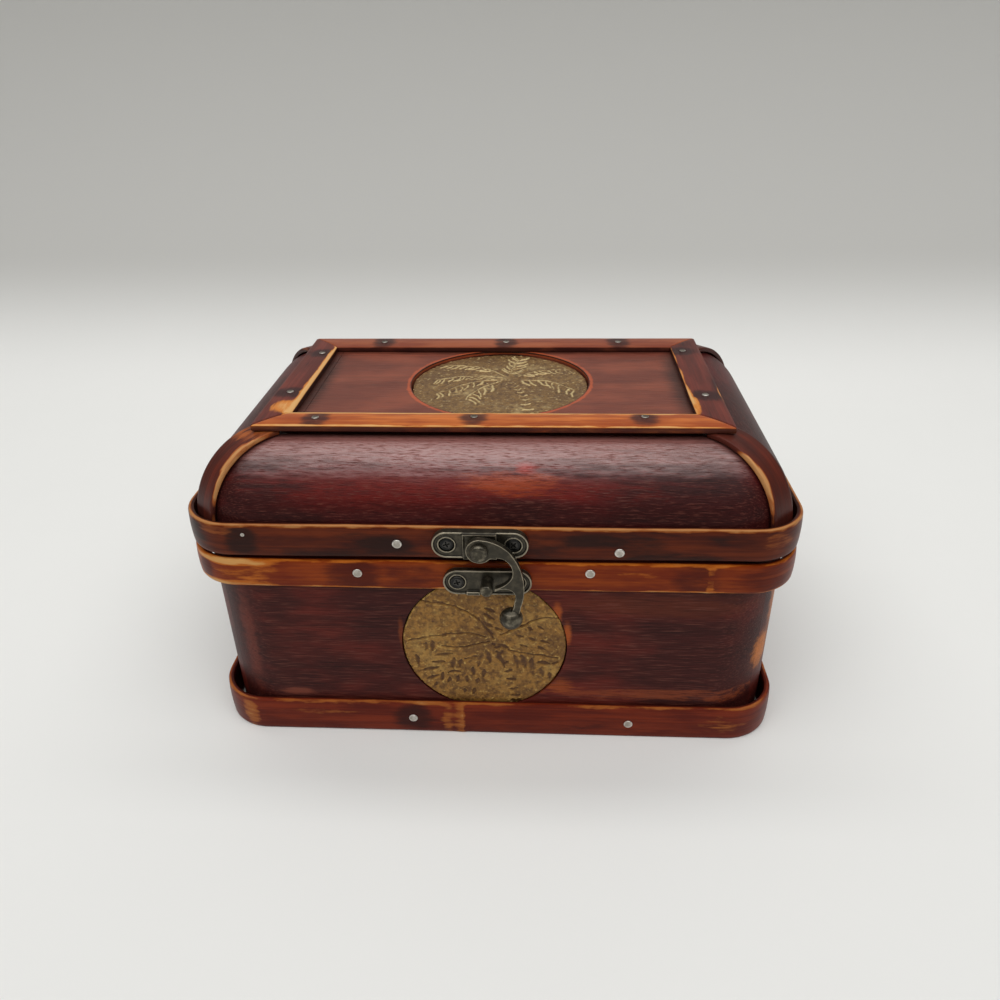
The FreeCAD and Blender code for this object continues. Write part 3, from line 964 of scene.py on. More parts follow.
def rubbed_edge(along: np.ndarray, share: np.ndarray, start: float | np.ndarray, wave: float,
                seed: float) -> np.ndarray:
    """Bared wood along the edges of a strip, of uneven width.

    Args:
        along: Distance of each point along the strip.
        share: Distance across it from the middle, 1 at the edge.
        start: Share at which the bared wood starts.
        wave: How far that start wanders.
        seed: Picks the unevenness.

    Returns:
        The strength, 0 inside to 1 on the edge.
    """
    uneven = start + wave * (wander(along, 11.0, seed) + 0.6 * wander(along, 3.7, seed + 2.0))
    return np.clip((share - uneven) / 0.13, 0, 1)


# Painted shade: how dark the sides of a strip, out of the light, and the inner side of a band are painted
SIDE_SHADE = 0.75


@dataclass
class BentBand:
    """Bamboo strip bent round the box, with its butt joint at the middle of the back.

    Attributes:
        node: The node that it stands for.
        body: The body that carries it.
        finish: Its tone of bamboo.
        blots: Its scorch marks, from the middle of the front.
        knots: Where the bamboo's own joints cross it, from the middle of the front.
        worn: Places rubbed to bare wood, from the middle of the front.
        bared: How much bare wood shows along its upper and its lower edge.
        knot_bare: How much bare wood shows on its joints.
        seed: Picks its unevenness.
        rub: Share of the half width at which its rubbed edges start.
        corner_radius: Outer radius of its bends in millimetres, like all its lengths.
        crown: How far its edges lie behind its middle.
        waviness: How far its edges wander.
        upper_wave: Length of the waves in its upper edge, and lower_wave in its lower one.
        rub_wave: How far the start of its rubbed edges wanders, as a share of the half width.
        outside: Depth that counts as its outer face, as a share of the thickness.
        pattern_step: How far the fibres' pattern moves across for each step of the seed.
    """

    node: str
    body: Body
    finish: ScorchedBamboo
    blots: tuple[Blot, ...] = ()
    knots: tuple[float, ...] = ()
    worn: tuple[Blot, ...] = ()
    bared: Span = (0.6, 0.4)
    knot_bare: float = 0.6
    seed: float = 1.0
    rub: float = 0.8
    corner_radius: float = 19.43
    thickness: float = 2.5
    crown: float = 0.35
    edge: float = 0.7
    waviness: float = 0.3
    step: float = 1.2
    rows: int = 8
    knot_ridge: float = 0.3
    knot_width: float = 1.6
    upper_wave: float = 46.0
    lower_wave: float = 52.0
    rub_wave: float = 0.09
    outside: float = 0.7
    pattern_step: float = 40.0

    def run(self, x: float, y: float, half: Vector) -> float:
        """Distance of a point along the band from the middle of the front, positive to the right.

        Args:
            x: Place across the box.
            y: Place from front to back.
            half: Half width and half depth over the band.

        Returns:
            The signed distance in millimetres.
        """
        radius = self.corner_radius
        flat_x, flat_y = half.x - radius, half.y - radius
        turn = radius * math.pi / 2
        over = abs(x)
        if y < -flat_y:
            found = over if over <= flat_x else flat_x + radius * math.atan2(over - flat_x, -flat_y - y)
        elif y <= flat_y:
            found = flat_x + turn + y + flat_y
        elif over > flat_x:
            found = flat_x + turn + 2 * flat_y + radius * math.atan2(y - flat_y, over - flat_x)
        else:
            found = 2 * flat_x + 2 * turn + 2 * flat_y - over
        return math.copysign(found, x)

    def outline(self, low: Vector, high: Vector) -> Object:
        """Bend a plane's outline to the band's plan and pull it up in rows.

        Args:
            low: Lowest corner of the node.
            high: Highest corner of the node.

        Returns:
            The outer skin of the band.
        """
        deselect_all()
        bpy.ops.mesh.primitive_plane_add(size=1, location=(0, 0, low.z))
        obj = name_new(self.node.replace("base_", "") + "_bamboo", (high.x - low.x, high.y - low.y, 1))
        with editing(obj):
            bpy.ops.mesh.bevel(offset=self.corner_radius, segments=24, affect="VERTICES")
            bpy.ops.mesh.delete(type="ONLY_FACE")
            for axis in (0, 1):
                pick(obj, Pick.EDGES, lambda edge: abs(edge.verts[0].co[axis] - edge.verts[1].co[axis]) > 20)
                span = high[axis] - low[axis] - 2 * self.corner_radius
                bpy.ops.mesh.subdivide(number_cuts=int(span / self.step) // 2 * 2)
            pick(obj, Pick.EDGES, lambda edge: middle(edge).y > 0 and abs(middle(edge).x) < self.step / 4)
            bpy.ops.mesh.delete(type="EDGE")
            bpy.ops.mesh.select_all(action="SELECT")
            for _ in range(self.rows):
                pull((0, 0, (high.z - low.z) / self.rows))
            bpy.ops.mesh.select_all(action="SELECT")
            bpy.ops.mesh.normals_make_consistent(inside=False)
        front = min(obj.data.polygons, key=lambda face: face.center.y)
        if front.normal.y > 0:
            obj.data.flip_normals()
        return obj

    def build(self) -> None:
        """Model the band, make it uneven, paint its scorch marks and painted shade, and settle it."""
        low, high = box_of(self.node)
        half = (high - low) / 2
        obj = self.outline(low, high)
        apply_modifier(obj, "SOLIDIFY", thickness=self.thickness, offset=-1, use_even_offset=True)
        soften(obj, self.edge)
        points = points_of(obj)
        along = np.array([self.run(x, y, half) for x, y, _ in points])
        height = high.z - low.z
        across = points[:, 2] - (low.z + high.z) / 2
        share = across / (height / 2)
        plan = np.stack([np.clip(points[:, 0], -half.x + self.corner_radius, half.x - self.corner_radius),
                         np.clip(points[:, 1], -half.y + self.corner_radius, half.y - self.corner_radius)], 1)
        spoke = points[:, :2] - plan
        reach = np.linalg.norm(spoke, axis=1)
        depth = self.corner_radius - reach
        knots = sum((np.exp(-((along - s) / self.knot_width) ** 2) for s in self.knots), np.zeros(len(along)))
        inward = np.where(depth < self.thickness / 2, self.crown * share ** 2 - self.knot_ridge * knots, 0.0)
        points[:, :2] -= spoke / reach[:, None] * inward[:, None]
        upper = wander(along, self.upper_wave, self.seed)
        lower = wander(along, self.lower_wave, self.seed + 7.3)
        points[:, 2] += self.waviness * np.where(share > 0, upper * share, -lower * share)
        points[:, 2] = np.maximum(points[:, 2], 0.0)
        set_points(obj, points)
        edges = rubbed_edge(along, np.abs(share), self.rub, self.rub_wave, self.seed)
        edges *= np.where(share > 0, *self.bared)
        outside = depth < self.thickness * self.outside
        paint(obj, "strip", np.stack([along, across + self.seed * self.pattern_step, depth], 1))
        # scorch holds the scorch marks and the painted shade on the band's inner side
        paint(obj, "scorch", np.maximum(blotted(along, across, self.blots), SIDE_SHADE * ~outside))
        rubbed = np.maximum(edges, self.knot_bare * np.clip(knots * 1.4, 0, 1))
        paint(obj, "bare", np.maximum(rubbed, blotted(along, across, self.worn)) * outside)
        settle(obj, self.body, self.finish, self.node)


@dataclass
class FrameStrip:
    """Mitred bamboo strip on one side of the top panel.

    Attributes:
        side: The side of the lid that it lies on.
        finish: Its tone of bamboo.
        worn: Places rubbed to bare wood, from the strip's middle.
        rub: Share of the half width at which its rubbed inner edge starts, at its left and its right end.
        bared: How much bare wood shows along its outer and its inner edge.
        seed: Picks its unevenness.
        outer_rub: Share of the half width at which its rubbed outer edge starts.
        crown: How far its edges lie below its middle, in millimetres like all its lengths.
        waviness: How far it wanders from a straight line, in waves as long as wave.
        blot_length: Half length of the scorch mark round a nail.
        rub_wave: How far the start of its rubbed edges wanders, as a share of the half width.
        outside: Depth that counts as its upper face, as a share of the thickness.
        pattern_step: How far the fibres' pattern moves for each step of the seed.
    """

    side: Side
    finish: ScorchedBamboo
    worn: tuple[Blot, ...] = ()
    rub: Span = (0.86, 0.86)
    bared: Span = (0.75, 0.85)
    seed: float = 2.0
    outer_rub: float = 0.92
    width: float = 12.0
    crown: float = 0.4
    edge: float = 0.55
    waviness: float = 0.35
    step: float = 1.2
    rows: int = 10
    blot_length: float = 6.0
    wave: float = 40.0
    rub_wave: float = 0.1
    outside: float = 0.15
    pattern_step: float = 50.0

    def build(self, nodes: dict[str, Object]) -> None:
        """Model the strip along X, turn it to its side, paint it and settle it.

        Args:
            nodes: The nodes of the box.
        """
        node = "frame_strip_" + self.side.name.lower()
        low, high = box_of(node)
        span = max(high.x - low.x, high.y - low.y)
        thickness = high.z - low.z
        deselect_all()
        bpy.ops.mesh.primitive_grid_add(x_subdivisions=int(span / self.step), y_subdivisions=self.rows,
                                        size=1)
        obj = name_new(node + "_bamboo", (span, self.width, 1))
        with editing(obj):
            for end in (-1, 1):
                bpy.ops.mesh.select_all(action="SELECT")
                bpy.ops.mesh.bisect(plane_co=(end * span / 2, -self.width / 2, 0), plane_no=(end, 1, 0),
                                    clear_outer=True)
            bpy.ops.mesh.select_all(action="SELECT")
            bpy.ops.mesh.remove_doubles(threshold=self.step / 4)
        apply_modifier(obj, "SOLIDIFY", thickness=thickness, offset=-1)
        soften(obj, self.edge)
        points = points_of(obj)
        along, across = points[:, 0].copy(), points[:, 1].copy()
        share = across / (self.width / 2)
        depth = -points[:, 2]
        points[:, 2] -= np.where(depth < thickness / 2, self.crown * share ** 2, 0.0)
        points[:, 1] += self.waviness * wander(along, self.wave, self.seed) * (1 - (2 * along / span) ** 2)
        set_points(obj, points)
        turn = Matrix.Rotation(math.radians(self.side.value), 4, "Z")
        centre = (low + high) / 2
        place = Matrix.Translation((centre.x, centre.y, high.z)) @ turn
        move_mesh(obj, place)
        places = []
        for start, end in solids_of(nodes["frame_strip_nails"]):
            spot = place.inverted() @ ((start + end) / 2)
            if abs(spot.y) < self.width / 2 and abs(spot.x) < span / 2:
                places.append(Blot(spot.x, spot.y, self.blot_length))
        start = np.where(share < 0, self.outer_rub, np.interp(along, (-span / 2, span / 2), self.rub))
        edges = rubbed_edge(along, np.abs(share), start, self.rub_wave, self.seed)
        edges *= np.where(share < 0, *self.bared)
        outside = depth < thickness * self.outside
        paint(obj, "strip", np.stack([along, across, depth], 1) + self.seed * self.pattern_step)
        # scorch holds the scorch marks and the painted shade on the strip's sides, which lie out of the light
        paint(obj, "scorch", np.maximum(blotted(along, across, places), SIDE_SHADE * ~outside))
        paint(obj, "bare", np.maximum(edges, blotted(along, across, self.worn)) * outside)
        settle(obj, Body.LID, self.finish, node)


@dataclass
class HipStraps:
    """Four bamboo straps bent over the rolled corners of the lid.

    Attributes:
        finish: Their tone of bamboo.
        roll: Inner radius of the bend in millimetres, like all lengths.
        foot: Height at which a strap starts, behind the lid band.
        spring: Height at which its bend starts.
        lap: How far it runs on under the frame.
        corner_x: Distance of the bend's centre from the middle, across the box.
        corner_y: The same from front to back.
        pattern_step: How far the fibres' pattern moves from strap to strap.
    """

    finish: ScorchedBamboo
    width: float = 11.5
    thickness: float = 2.0
    roll: float = 26.15
    foot: float = 88.2
    spring: float = 91.0
    lap: float = 3.0
    corner_x: float = 81.5
    corner_y: float = 44.5
    edge: float = 0.6
    rows: int = 8
    pattern_step: float = 70.0

    def strap(self, name: str) -> Object:
        """Model one strap over the X axis: a short foot, a quarter turn and a lap.

        Args:
            name: Name of the strap.

        Returns:
            The strap, with its corner's centre on the Z axis.
        """
        outer = self.roll + self.thickness
        deselect_all()
        bpy.ops.mesh.primitive_grid_add(x_subdivisions=2, y_subdivisions=self.rows, size=1,
                                        location=(outer, 0, (self.foot + self.spring) / 2),
                                        rotation=(0, math.pi / 2, 0))
        obj = name_new(name, (self.spring - self.foot, self.width, 1))
        with editing(obj):
            pick(obj, Pick.EDGES, lambda edge: middle(edge).z > self.spring - 1e-3)
            bpy.ops.mesh.spin(steps=36, angle=math.pi / 2, center=(0, 0, self.spring), axis=(0, 1, 0))
            pick(obj, Pick.EDGES, lambda edge: middle(edge).x < 1e-3 and abs(edge.verts[0].co.x) < 1e-3
                 and abs(edge.verts[1].co.x) < 1e-3)
            for _ in range(3):
                pull((-self.lap / 3, 0, 0))
        turn_out(obj)
        side = max(obj.data.polygons, key=lambda face: face.center.x)
        if side.normal.x < 0:
            obj.data.flip_normals()
        apply_modifier(obj, "SOLIDIFY", thickness=self.thickness, offset=-1, use_even_offset=True)
        soften(obj, self.edge)
        return obj

    def build(self) -> None:
        """Model the straps, paint them and settle them on the four corners."""
        corners = [(x, y) for y in ("front", "back") for x in ("left", "right")]
        for index, (x_name, y_name) in enumerate(corners):
            node = f"hip_strap_{y_name}_{x_name}"
            obj = self.strap(node + "_bamboo")
            points = points_of(obj)
            angle = np.arctan2(points[:, 2] - self.spring, points[:, 0])
            along = np.where(points[:, 2] < self.spring, points[:, 2] - self.spring, angle * self.roll)
            across = points[:, 1].copy()
            share = np.abs(across) / (self.width / 2)
            radius = np.hypot(points[:, 0], np.maximum(points[:, 2] - self.spring, 0))
            depth = self.roll + self.thickness - radius
            paint(obj, "strip", np.stack([along, across, depth], 1) + index * self.pattern_step)
            side_x = -1 if x_name == "left" else 1
            side_y = -1 if y_name == "front" else 1
            facing = np.sign(across) == side_x * side_y
            # Angle and spread of the widest rubbed place, and where the rubbed edge starts elsewhere
            most, spread, thin = (1.0, 0.3, 0.9) if x_name == "left" else (0.75, 0.4, 1.0)
            start = np.where(facing, thin - 0.42 * np.exp(-((angle - most) / spread) ** 2), 0.95)
            edges = rubbed_edge(along, share, start, 0.08, index * 5.3) * np.where(facing, 0.8, 0.6)
            edges *= 0.4 if y_name == "back" else 1.0
            amber = (0.45 if x_name == "left" else 0.2) * np.clip((angle - 0.9) / 0.4, 0, 1)
            paint(obj, "scorch", 0.2 + 0.35 * wander(along, 12.0, index * 3.1))
            paint(obj, "bare", np.maximum(edges, amber) * (depth < self.thickness * 0.8))
            turn = Matrix.Rotation(math.atan2(side_y, side_x), 4, "Z")
            move_mesh(obj, Matrix.Translation((side_x * self.corner_x, side_y * self.corner_y, 0)) @ turn)
            settle(obj, Body.LID, self.finish, node)


# Medallions


Stroke = tuple[np.ndarray, np.ndarray, float, float]


def rounded(points: Sequence[Span], times: int = 3) -> list[np.ndarray]:
    """Round the corners of an open line by cutting them.

    Args:
        points: Points along the line.
        times: How often the corners are cut.

    Returns:
        Points along the rounded line.
    """
    found = [np.array(point, float) for point in points]
    for _ in range(times):
        cut = [found[0]]
        for a, b in zip(found, found[1:]):
            cut += [0.75 * a + 0.25 * b, 0.25 * a + 0.75 * b]
        found = cut + [found[-1]]
    return found


def turned(way: np.ndarray, angle: float) -> np.ndarray:
    """Turn a direction on the disc to the left by an angle in degrees."""
    return np.array(Matrix.Rotation(math.radians(angle), 2) @ Vector(way))


@dataclass(frozen=True)
class Frond:
    """One frond of a palm: a rib with leaflets along it, in shares of the disc's radius.

    Attributes:
        rib: Points along the rib, from the crown outwards.
        leaves: Number of leaflets on each side that has them.
        hands: Sides with leaflets, 1 to the left of the rib and -1 to the right.
        leaf: Length of the longest leaflet.
        start: Share of the rib that stays bare at the crown.
        lean: Angle between leaflet and rib in degrees.
        gap: Distance between rib and leaflet.
        curl: How far the outer half of a leaflet bends to the frond's tip, in degrees.
    """

    rib: tuple[Span, ...]
    leaves: int = 0
    hands: tuple[int, ...] = (1,)
    leaf: float = 0.14
    start: float = 0.28
    lean: float = 62.0
    gap: float = 0.03
    curl: float = 24.0

    def strokes(self, rib: Span, leaf: Span) -> list[Stroke]:
        """Every line of the frond.

        Args:
            rib: Half width and depth of the rib.
            leaf: Half width and depth of a leaflet.

        Returns:
            Start, end, half width and depth of each line.
        """
        line = rounded(self.rib)
        found = [(a, b, *rib) for a, b in zip(line, line[1:])]
        chance = np.random.default_rng(len(self.rib) * 100 + self.leaves)
        for index in range(self.leaves):
            share = self.start + (0.98 - self.start) * index / max(self.leaves - 1, 1)
            at = min(int(share * (len(line) - 1)), len(line) - 2)
            way = (line[at + 1] - line[at]) / np.linalg.norm(line[at + 1] - line[at])
            size = self.leaf * (0.55 + 0.45 * math.sin(math.pi * (0.25 + 0.6 * share)))
            for hand in self.hands:
                lean = self.lean + chance.uniform(-6, 6)
                half = size * chance.uniform(0.43, 0.57)
                root = line[at] + turned(way, lean * hand) * self.gap
                bend = root + turned(way, lean * hand) * half
                tip = bend + turned(way, (lean - self.curl) * hand) * half
                found += [(root, bend, *leaf), (bend, tip, *leaf)]
        return found


@dataclass(frozen=True)
class Leaf:
    """One broad leaf that lies by itself, in shares of the disc's radius.

    Attributes:
        root: Its end towards the crown.
        tip: Its outer end.
        girth: Its half width.
    """

    root: Span
    tip: Span
    girth: float = 0.022


@dataclass(frozen=True)
class PalmRelief:
    """Palm tree in relief: fronds and a ringed trunk, in shares of the disc's radius.

    Attributes:
        fronds: The fronds round the crown.
        leaves: Broad leaves between the fronds.
        trunk: Points along the trunk, from the crown to the disc's edge.
        rings: Marks across the trunk.
        trunk_width: Half width of the trunk at its foot.
        rib: Half width and depth of a rib's line, the depth as a share of the cut.
        leaf: Half width and depth of a leaflet's line.
        broad: Half width from which a leaf has a flat floor and a sharp edge.
        sag: How far a mark across the trunk bows to its foot.
    """

    fronds: tuple[Frond, ...]
    trunk: tuple[Span, ...]
    leaves: tuple[Leaf, ...] = ()
    rings: int = 9
    trunk_width: float = 0.065
    rib: Span = (0.013, 1.0)
    leaf: Span = (0.026, 0.9)
    broad: float = 0.017
    sag: float = 0.02

    def strokes(self) -> list[Stroke]:
        """Every line of the palm."""
        lines = [line for frond in self.fronds for line in frond.strokes(self.rib, self.leaf)]
        lines += [(np.array(leaf.root), np.array(leaf.tip), leaf.girth, self.leaf[1]) for leaf in self.leaves]
        path = rounded(self.trunk)
        for ring in range(1, self.rings + 1):
            share = ring / self.rings
            at = min(int(share * (len(path) - 1)), len(path) - 2)
            way = (path[at + 1] - path[at]) / np.linalg.norm(path[at + 1] - path[at])
            half = np.array([way[1], -way[0]]) * self.trunk_width * (0.5 + 0.5 * share)
            bow = path[at] + way * self.sag
            lines += [(path[at] - half, bow, *self.leaf), (bow, path[at] + half, *self.leaf)]
        return lines

    def carve(self, points: np.ndarray) -> tuple[np.ndarray, np.ndarray]:
        """How far the palm's lines, and the lips beside them, stand in at each point.

        Args:
            points: Places on the disc in shares of its radius.

        Returns:
            0 off the lines to 1 on them, and the same for their lips.
        """
        lines, lips = np.zeros(len(points)), np.zeros(len(points))
        for start, end, width, depth in self.strokes():
            way = end - start
            along = np.clip(((points - start) @ way) / max(way @ way, 1e-9), 0, 1)
            off = np.linalg.norm(points - start - along[:, None] * way, axis=1) / width
            steep, lip, spread = 2, 2.0, 0.7
            if width > self.broad:
                off /= 0.5 + 0.6 * np.sin(math.pi * along ** 0.8)
                steep, lip, spread = 4, 1.5, 0.35
            lines = np.maximum(lines, depth * np.exp(-off ** steep))
            lips = np.maximum(lips, depth * np.exp(-((off - lip) / spread) ** 2))
        return lines, lips * (1 - lines)


FRONT_PALM = PalmRelief(
    fronds=(
        Frond(((0.11, 0.17), (-0.05, 0.41), (-0.21, 0.52), (-0.42, 0.63), (-0.78, 0.67))),
        Frond(((0.11, 0.12), (0.06, 0.22), (-0.02, 0.34), (-0.06, 0.44))),
        Frond(((0.02, 0.14), (-0.12, 0.18), (-0.28, 0.19), (-0.61, 0.14), (-0.95, 0.05))),
        Frond(((0.20, 0.17), (0.46, 0.32), (0.65, 0.42), (0.78, 0.45), (0.93, 0.43))),
        Frond(((0.07, 0.07), (-0.14, 0.01), (-0.28, -0.05), (-0.40, -0.03), (-0.52, -0.02))),
        Frond(((0.30, -0.06), (0.48, -0.11), (0.66, -0.13), (0.90, -0.17))),
    ),
    leaves=(
        # Right of the crown
        Leaf((0.11, 0.04), (0.13, 0.01), 0.034), Leaf((0.19, 0.03), (0.30, -0.04), 0.032),
        Leaf((0.15, -0.09), (0.25, -0.33), 0.030), Leaf((0.37, -0.16), (0.41, -0.33), 0.035),
        Leaf((0.46, -0.16), (0.51, -0.34), 0.038), Leaf((0.58, -0.20), (0.60, -0.44), 0.038),
        Leaf((0.69, -0.35), (0.72, -0.47), 0.035), Leaf((0.68, -0.25), (0.80, -0.27), 0.030),
        Leaf((0.80, -0.42), (0.82, -0.51), 0.026), Leaf((0.84, -0.27), (0.92, -0.24)),
        Leaf((0.53, 0.29), (0.59, 0.25)), Leaf((0.65, 0.31), (0.71, 0.27)),
        Leaf((0.40, 0.17), (0.48, 0.14)), Leaf((0.55, 0.13), (0.63, 0.09)), Leaf((0.70, 0.10), (0.79, 0.05)),
        Leaf((0.44, 0.03), (0.54, -0.01)), Leaf((0.66, 0.00), (0.75, -0.04)),
        # Left of the crown
        Leaf((-0.72, 0.03), (-0.73, -0.08), 0.026), Leaf((-0.63, 0.05), (-0.64, -0.08), 0.032),
        Leaf((-0.40, -0.14), (-0.62, -0.17)), Leaf((-0.10, -0.17), (-0.25, -0.22)),
        Leaf((-0.50, -0.25), (-0.65, -0.28)), Leaf((-0.58, -0.36), (-0.82, -0.42)),
        Leaf((-0.85, -0.17), (-0.84, -0.30)), Leaf((-0.39, -0.22), (-0.41, -0.36), 0.030),
        Leaf((-0.29, -0.23), (-0.31, -0.34), 0.028), Leaf((-0.30, -0.42), (-0.46, -0.44)),
        Leaf((-0.58, -0.50), (-0.74, -0.55)), Leaf((-0.53, -0.44), (-0.55, -0.57), 0.024),
        Leaf((-0.44, -0.51), (-0.47, -0.61), 0.024), Leaf((-0.62, -0.61), (-0.65, -0.67), 0.024),
        # Under the crown
        Leaf((0.03, -0.09), (0.06, -0.27), 0.032), Leaf((-0.03, -0.12), (-0.08, -0.33), 0.028),
        Leaf((-0.15, -0.36), (-0.15, -0.47), 0.032), Leaf((-0.01, -0.40), (-0.02, -0.50), 0.032),
        Leaf((-0.09, -0.53), (-0.10, -0.61), 0.030), Leaf((-0.22, -0.50), (-0.24, -0.59), 0.028),
        Leaf((-0.33, -0.50), (-0.36, -0.60), 0.026), Leaf((-0.27, -0.71), (-0.28, -0.75), 0.036),
        Leaf((-0.14, -0.71), (-0.16, -0.79), 0.024),
        # Over the crown
        Leaf((0.13, 0.52), (0.03, 0.58)), Leaf((0.12, 0.40), (0.01, 0.48), 0.026),
        Leaf((0.10, 0.30), (0.00, 0.37), 0.026), Leaf((0.14, 0.28), (0.23, 0.25)),
        Leaf((-0.06, 0.27), (-0.11, 0.28), 0.026),
    ),
    trunk=((0.14, 0.02), (0.24, -0.20), (0.32, -0.48), (0.36, -0.73), (0.39, -0.92)),
)
TOP_PALM = PalmRelief(
    fronds=(
        Frond(((0.06, 0.23), (-0.06, 0.38), (-0.19, 0.51), (-0.39, 0.59), (-0.65, 0.61)),
              8, leaf=0.13, start=0.4),
        Frond(((0.01, 0.21), (-0.24, 0.26), (-0.49, 0.25), (-0.74, 0.12)), 9, leaf=0.13, start=0.3),
        Frond(((0.02, 0.14), (-0.23, 0.10), (-0.39, 0.00), (-0.52, -0.11), (-0.69, -0.29)),
              8, leaf=0.15, start=0.3),
        Frond(((0.02, 0.10), (-0.13, -0.03), (-0.24, -0.16), (-0.32, -0.29), (-0.35, -0.46)), 6, leaf=0.20),
        Frond(((0.09, 0.31), (0.14, 0.54), (0.19, 0.82)), 7, (1, -1), 0.15, 0.1, 50.0),
        Frond(((0.20, 0.25), (0.32, 0.36), (0.51, 0.47), (0.79, 0.47)), 8, (-1,), 0.14, 0.2),
        Frond(((0.22, 0.14), (0.40, 0.13), (0.56, 0.10), (0.68, 0.00), (0.84, -0.18)), 8, (-1,), 0.20, 0.1),
    ),
    trunk=((0.08, 0.16), (0.18, -0.07), (0.25, -0.25), (0.30, -0.45), (0.34, -0.75), (0.36, -0.95)),
    rings=12, trunk_width=0.055, rib=(0.012, 0.85), leaf=(0.014, 1.0),
)


@dataclass
class Medallion:
    """Gilt disc with a palm in relief, modelled flat and turned to its face of the box.

    Attributes:
        node: The node that it stands for.
        body: The body that carries it.
        finish: Its gilding.
        palm: The design.
        cut: How deep the lines are cut in millimetres, negative where they stand up.
        upright: Whether it faces the front and not the top.
        lip: Height of the lips beside the lines in millimetres.
        rough: Height of its unevenness in millimetres.
        chip: How far its rim is chipped away in millimetres.
        rim: Width of its rounded rim in millimetres.
        grain: Sizes of its fine unevenness in millimetres.
        shake: How far the lines waver, as a share of the radius, with shakes waves over one radius.
        depth_mean: Share of the cut that the lines reach on average.
        depth_spread: How much that share varies, with depth_waves waves over one radius.
        depth_least: The least share.
        swells: Wide waves over one radius.
        chips: Chips along one radius of the rim.
        cells: Number of faces along each side of the grid.
        seed: Picks its unevenness.
    """

    node: str
    body: Body
    finish: GiltCasting
    palm: PalmRelief
    cut: float = 0.45
    upright: bool = False
    lip: float = 0.08
    rough: float = 0.13
    chip: float = 0.5
    rim: float = 0.7
    grain: Span = (1.7, 0.8)
    shake: float = 0.022
    shakes: float = 9.0
    depth_mean: float = 0.9
    depth_spread: float = 0.6
    depth_waves: float = 3.5
    depth_least: float = 0.3
    swells: float = 2.2
    chips: float = 4.0
    cells: int = 230
    seed: float = 0.0

    def waves(self, places: np.ndarray) -> np.ndarray:
        """Smooth noise of size 1 at places on a plane."""
        return np.array([noise.noise(Vector((u, v, self.seed))) for u, v in places])

    def build(self) -> None:
        """Model the disc, carve the palm, turn the disc to its place and settle it."""
        low, high = box_of(self.node)
        size = high - low
        radius = max(size) / 2
        thickness = min(size)
        deselect_all()
        bpy.ops.mesh.primitive_grid_add(x_subdivisions=self.cells, y_subdivisions=self.cells, size=2)
        obj = name_new(self.node + "_gilt")
        square = points_of(obj)[:, :2]
        disc = square * np.sqrt(1 - square[:, ::-1] ** 2 / 2)
        shake = np.column_stack([self.waves(disc * self.shakes + turn) for turn in (3.0, 11.0)])
        lines, lips = self.palm.carve(disc + self.shake * shake)
        depth = self.depth_mean + self.depth_spread * self.waves(disc * self.depth_waves)
        lines *= np.clip(depth, self.depth_least, 1)
        grit = sum(self.waves(disc * radius / size) for size in self.grain)
        swell = self.waves(disc * self.swells)
        around = disc / np.maximum(np.linalg.norm(disc, axis=1), 1e-6)[:, None]
        worn = radius - self.chip * (0.5 + 0.5 * self.waves(around * self.chips))
        edge = np.clip((np.linalg.norm(disc, axis=1) - 1 + self.rim / radius) / (self.rim / radius), 0, 1)
        way = np.sign(self.cut)
        height = (self.rough * (grit + swell) - self.cut * lines + way * self.lip * lips
                  - 0.5 * self.rim * edge ** 2)
        height -= self.rough + max(0.0, -self.cut)
        set_points(obj, np.column_stack([disc * worn[:, None], height]))
        # relief holds rubbed gilding and glaze and also painted light: on the top disc the raised lines are
        # lighter and the troughs beside them darker, as painted highlight and painted shadow, and the rim is
        # painted lighter most towards the upper left, as a painted highlight
        relief = 0.5 - way * 0.5 * lines + way * 0.2 * lips + 0.32 * grit * (1 - lines)
        paint(obj, "relief", np.clip(relief + 0.2 * edge * (1 + around @ (-0.6, 0.6)), 0, 1))
        with editing(obj):
            pick(obj, Pick.EDGES, lambda rim_edge: rim_edge.is_boundary)
            pull((0, 0, -thickness / 2))
            bpy.ops.mesh.edge_face_add()
        points = points_of(obj)
        bottom = points[:, 2] < -thickness / 4
        points[bottom, 2] = -thickness
        set_points(obj, points)
        turn_out(obj)
        centre = (low + high) / 2
        if self.upright:
            place = facing_front(centre.x, low.y, centre.z)
        else:
            place = Matrix.Translation((centre.x, centre.y, high.z))
        move_mesh(obj, place)
        settle(obj, self.body, self.finish, self.node)


# Metal pieces


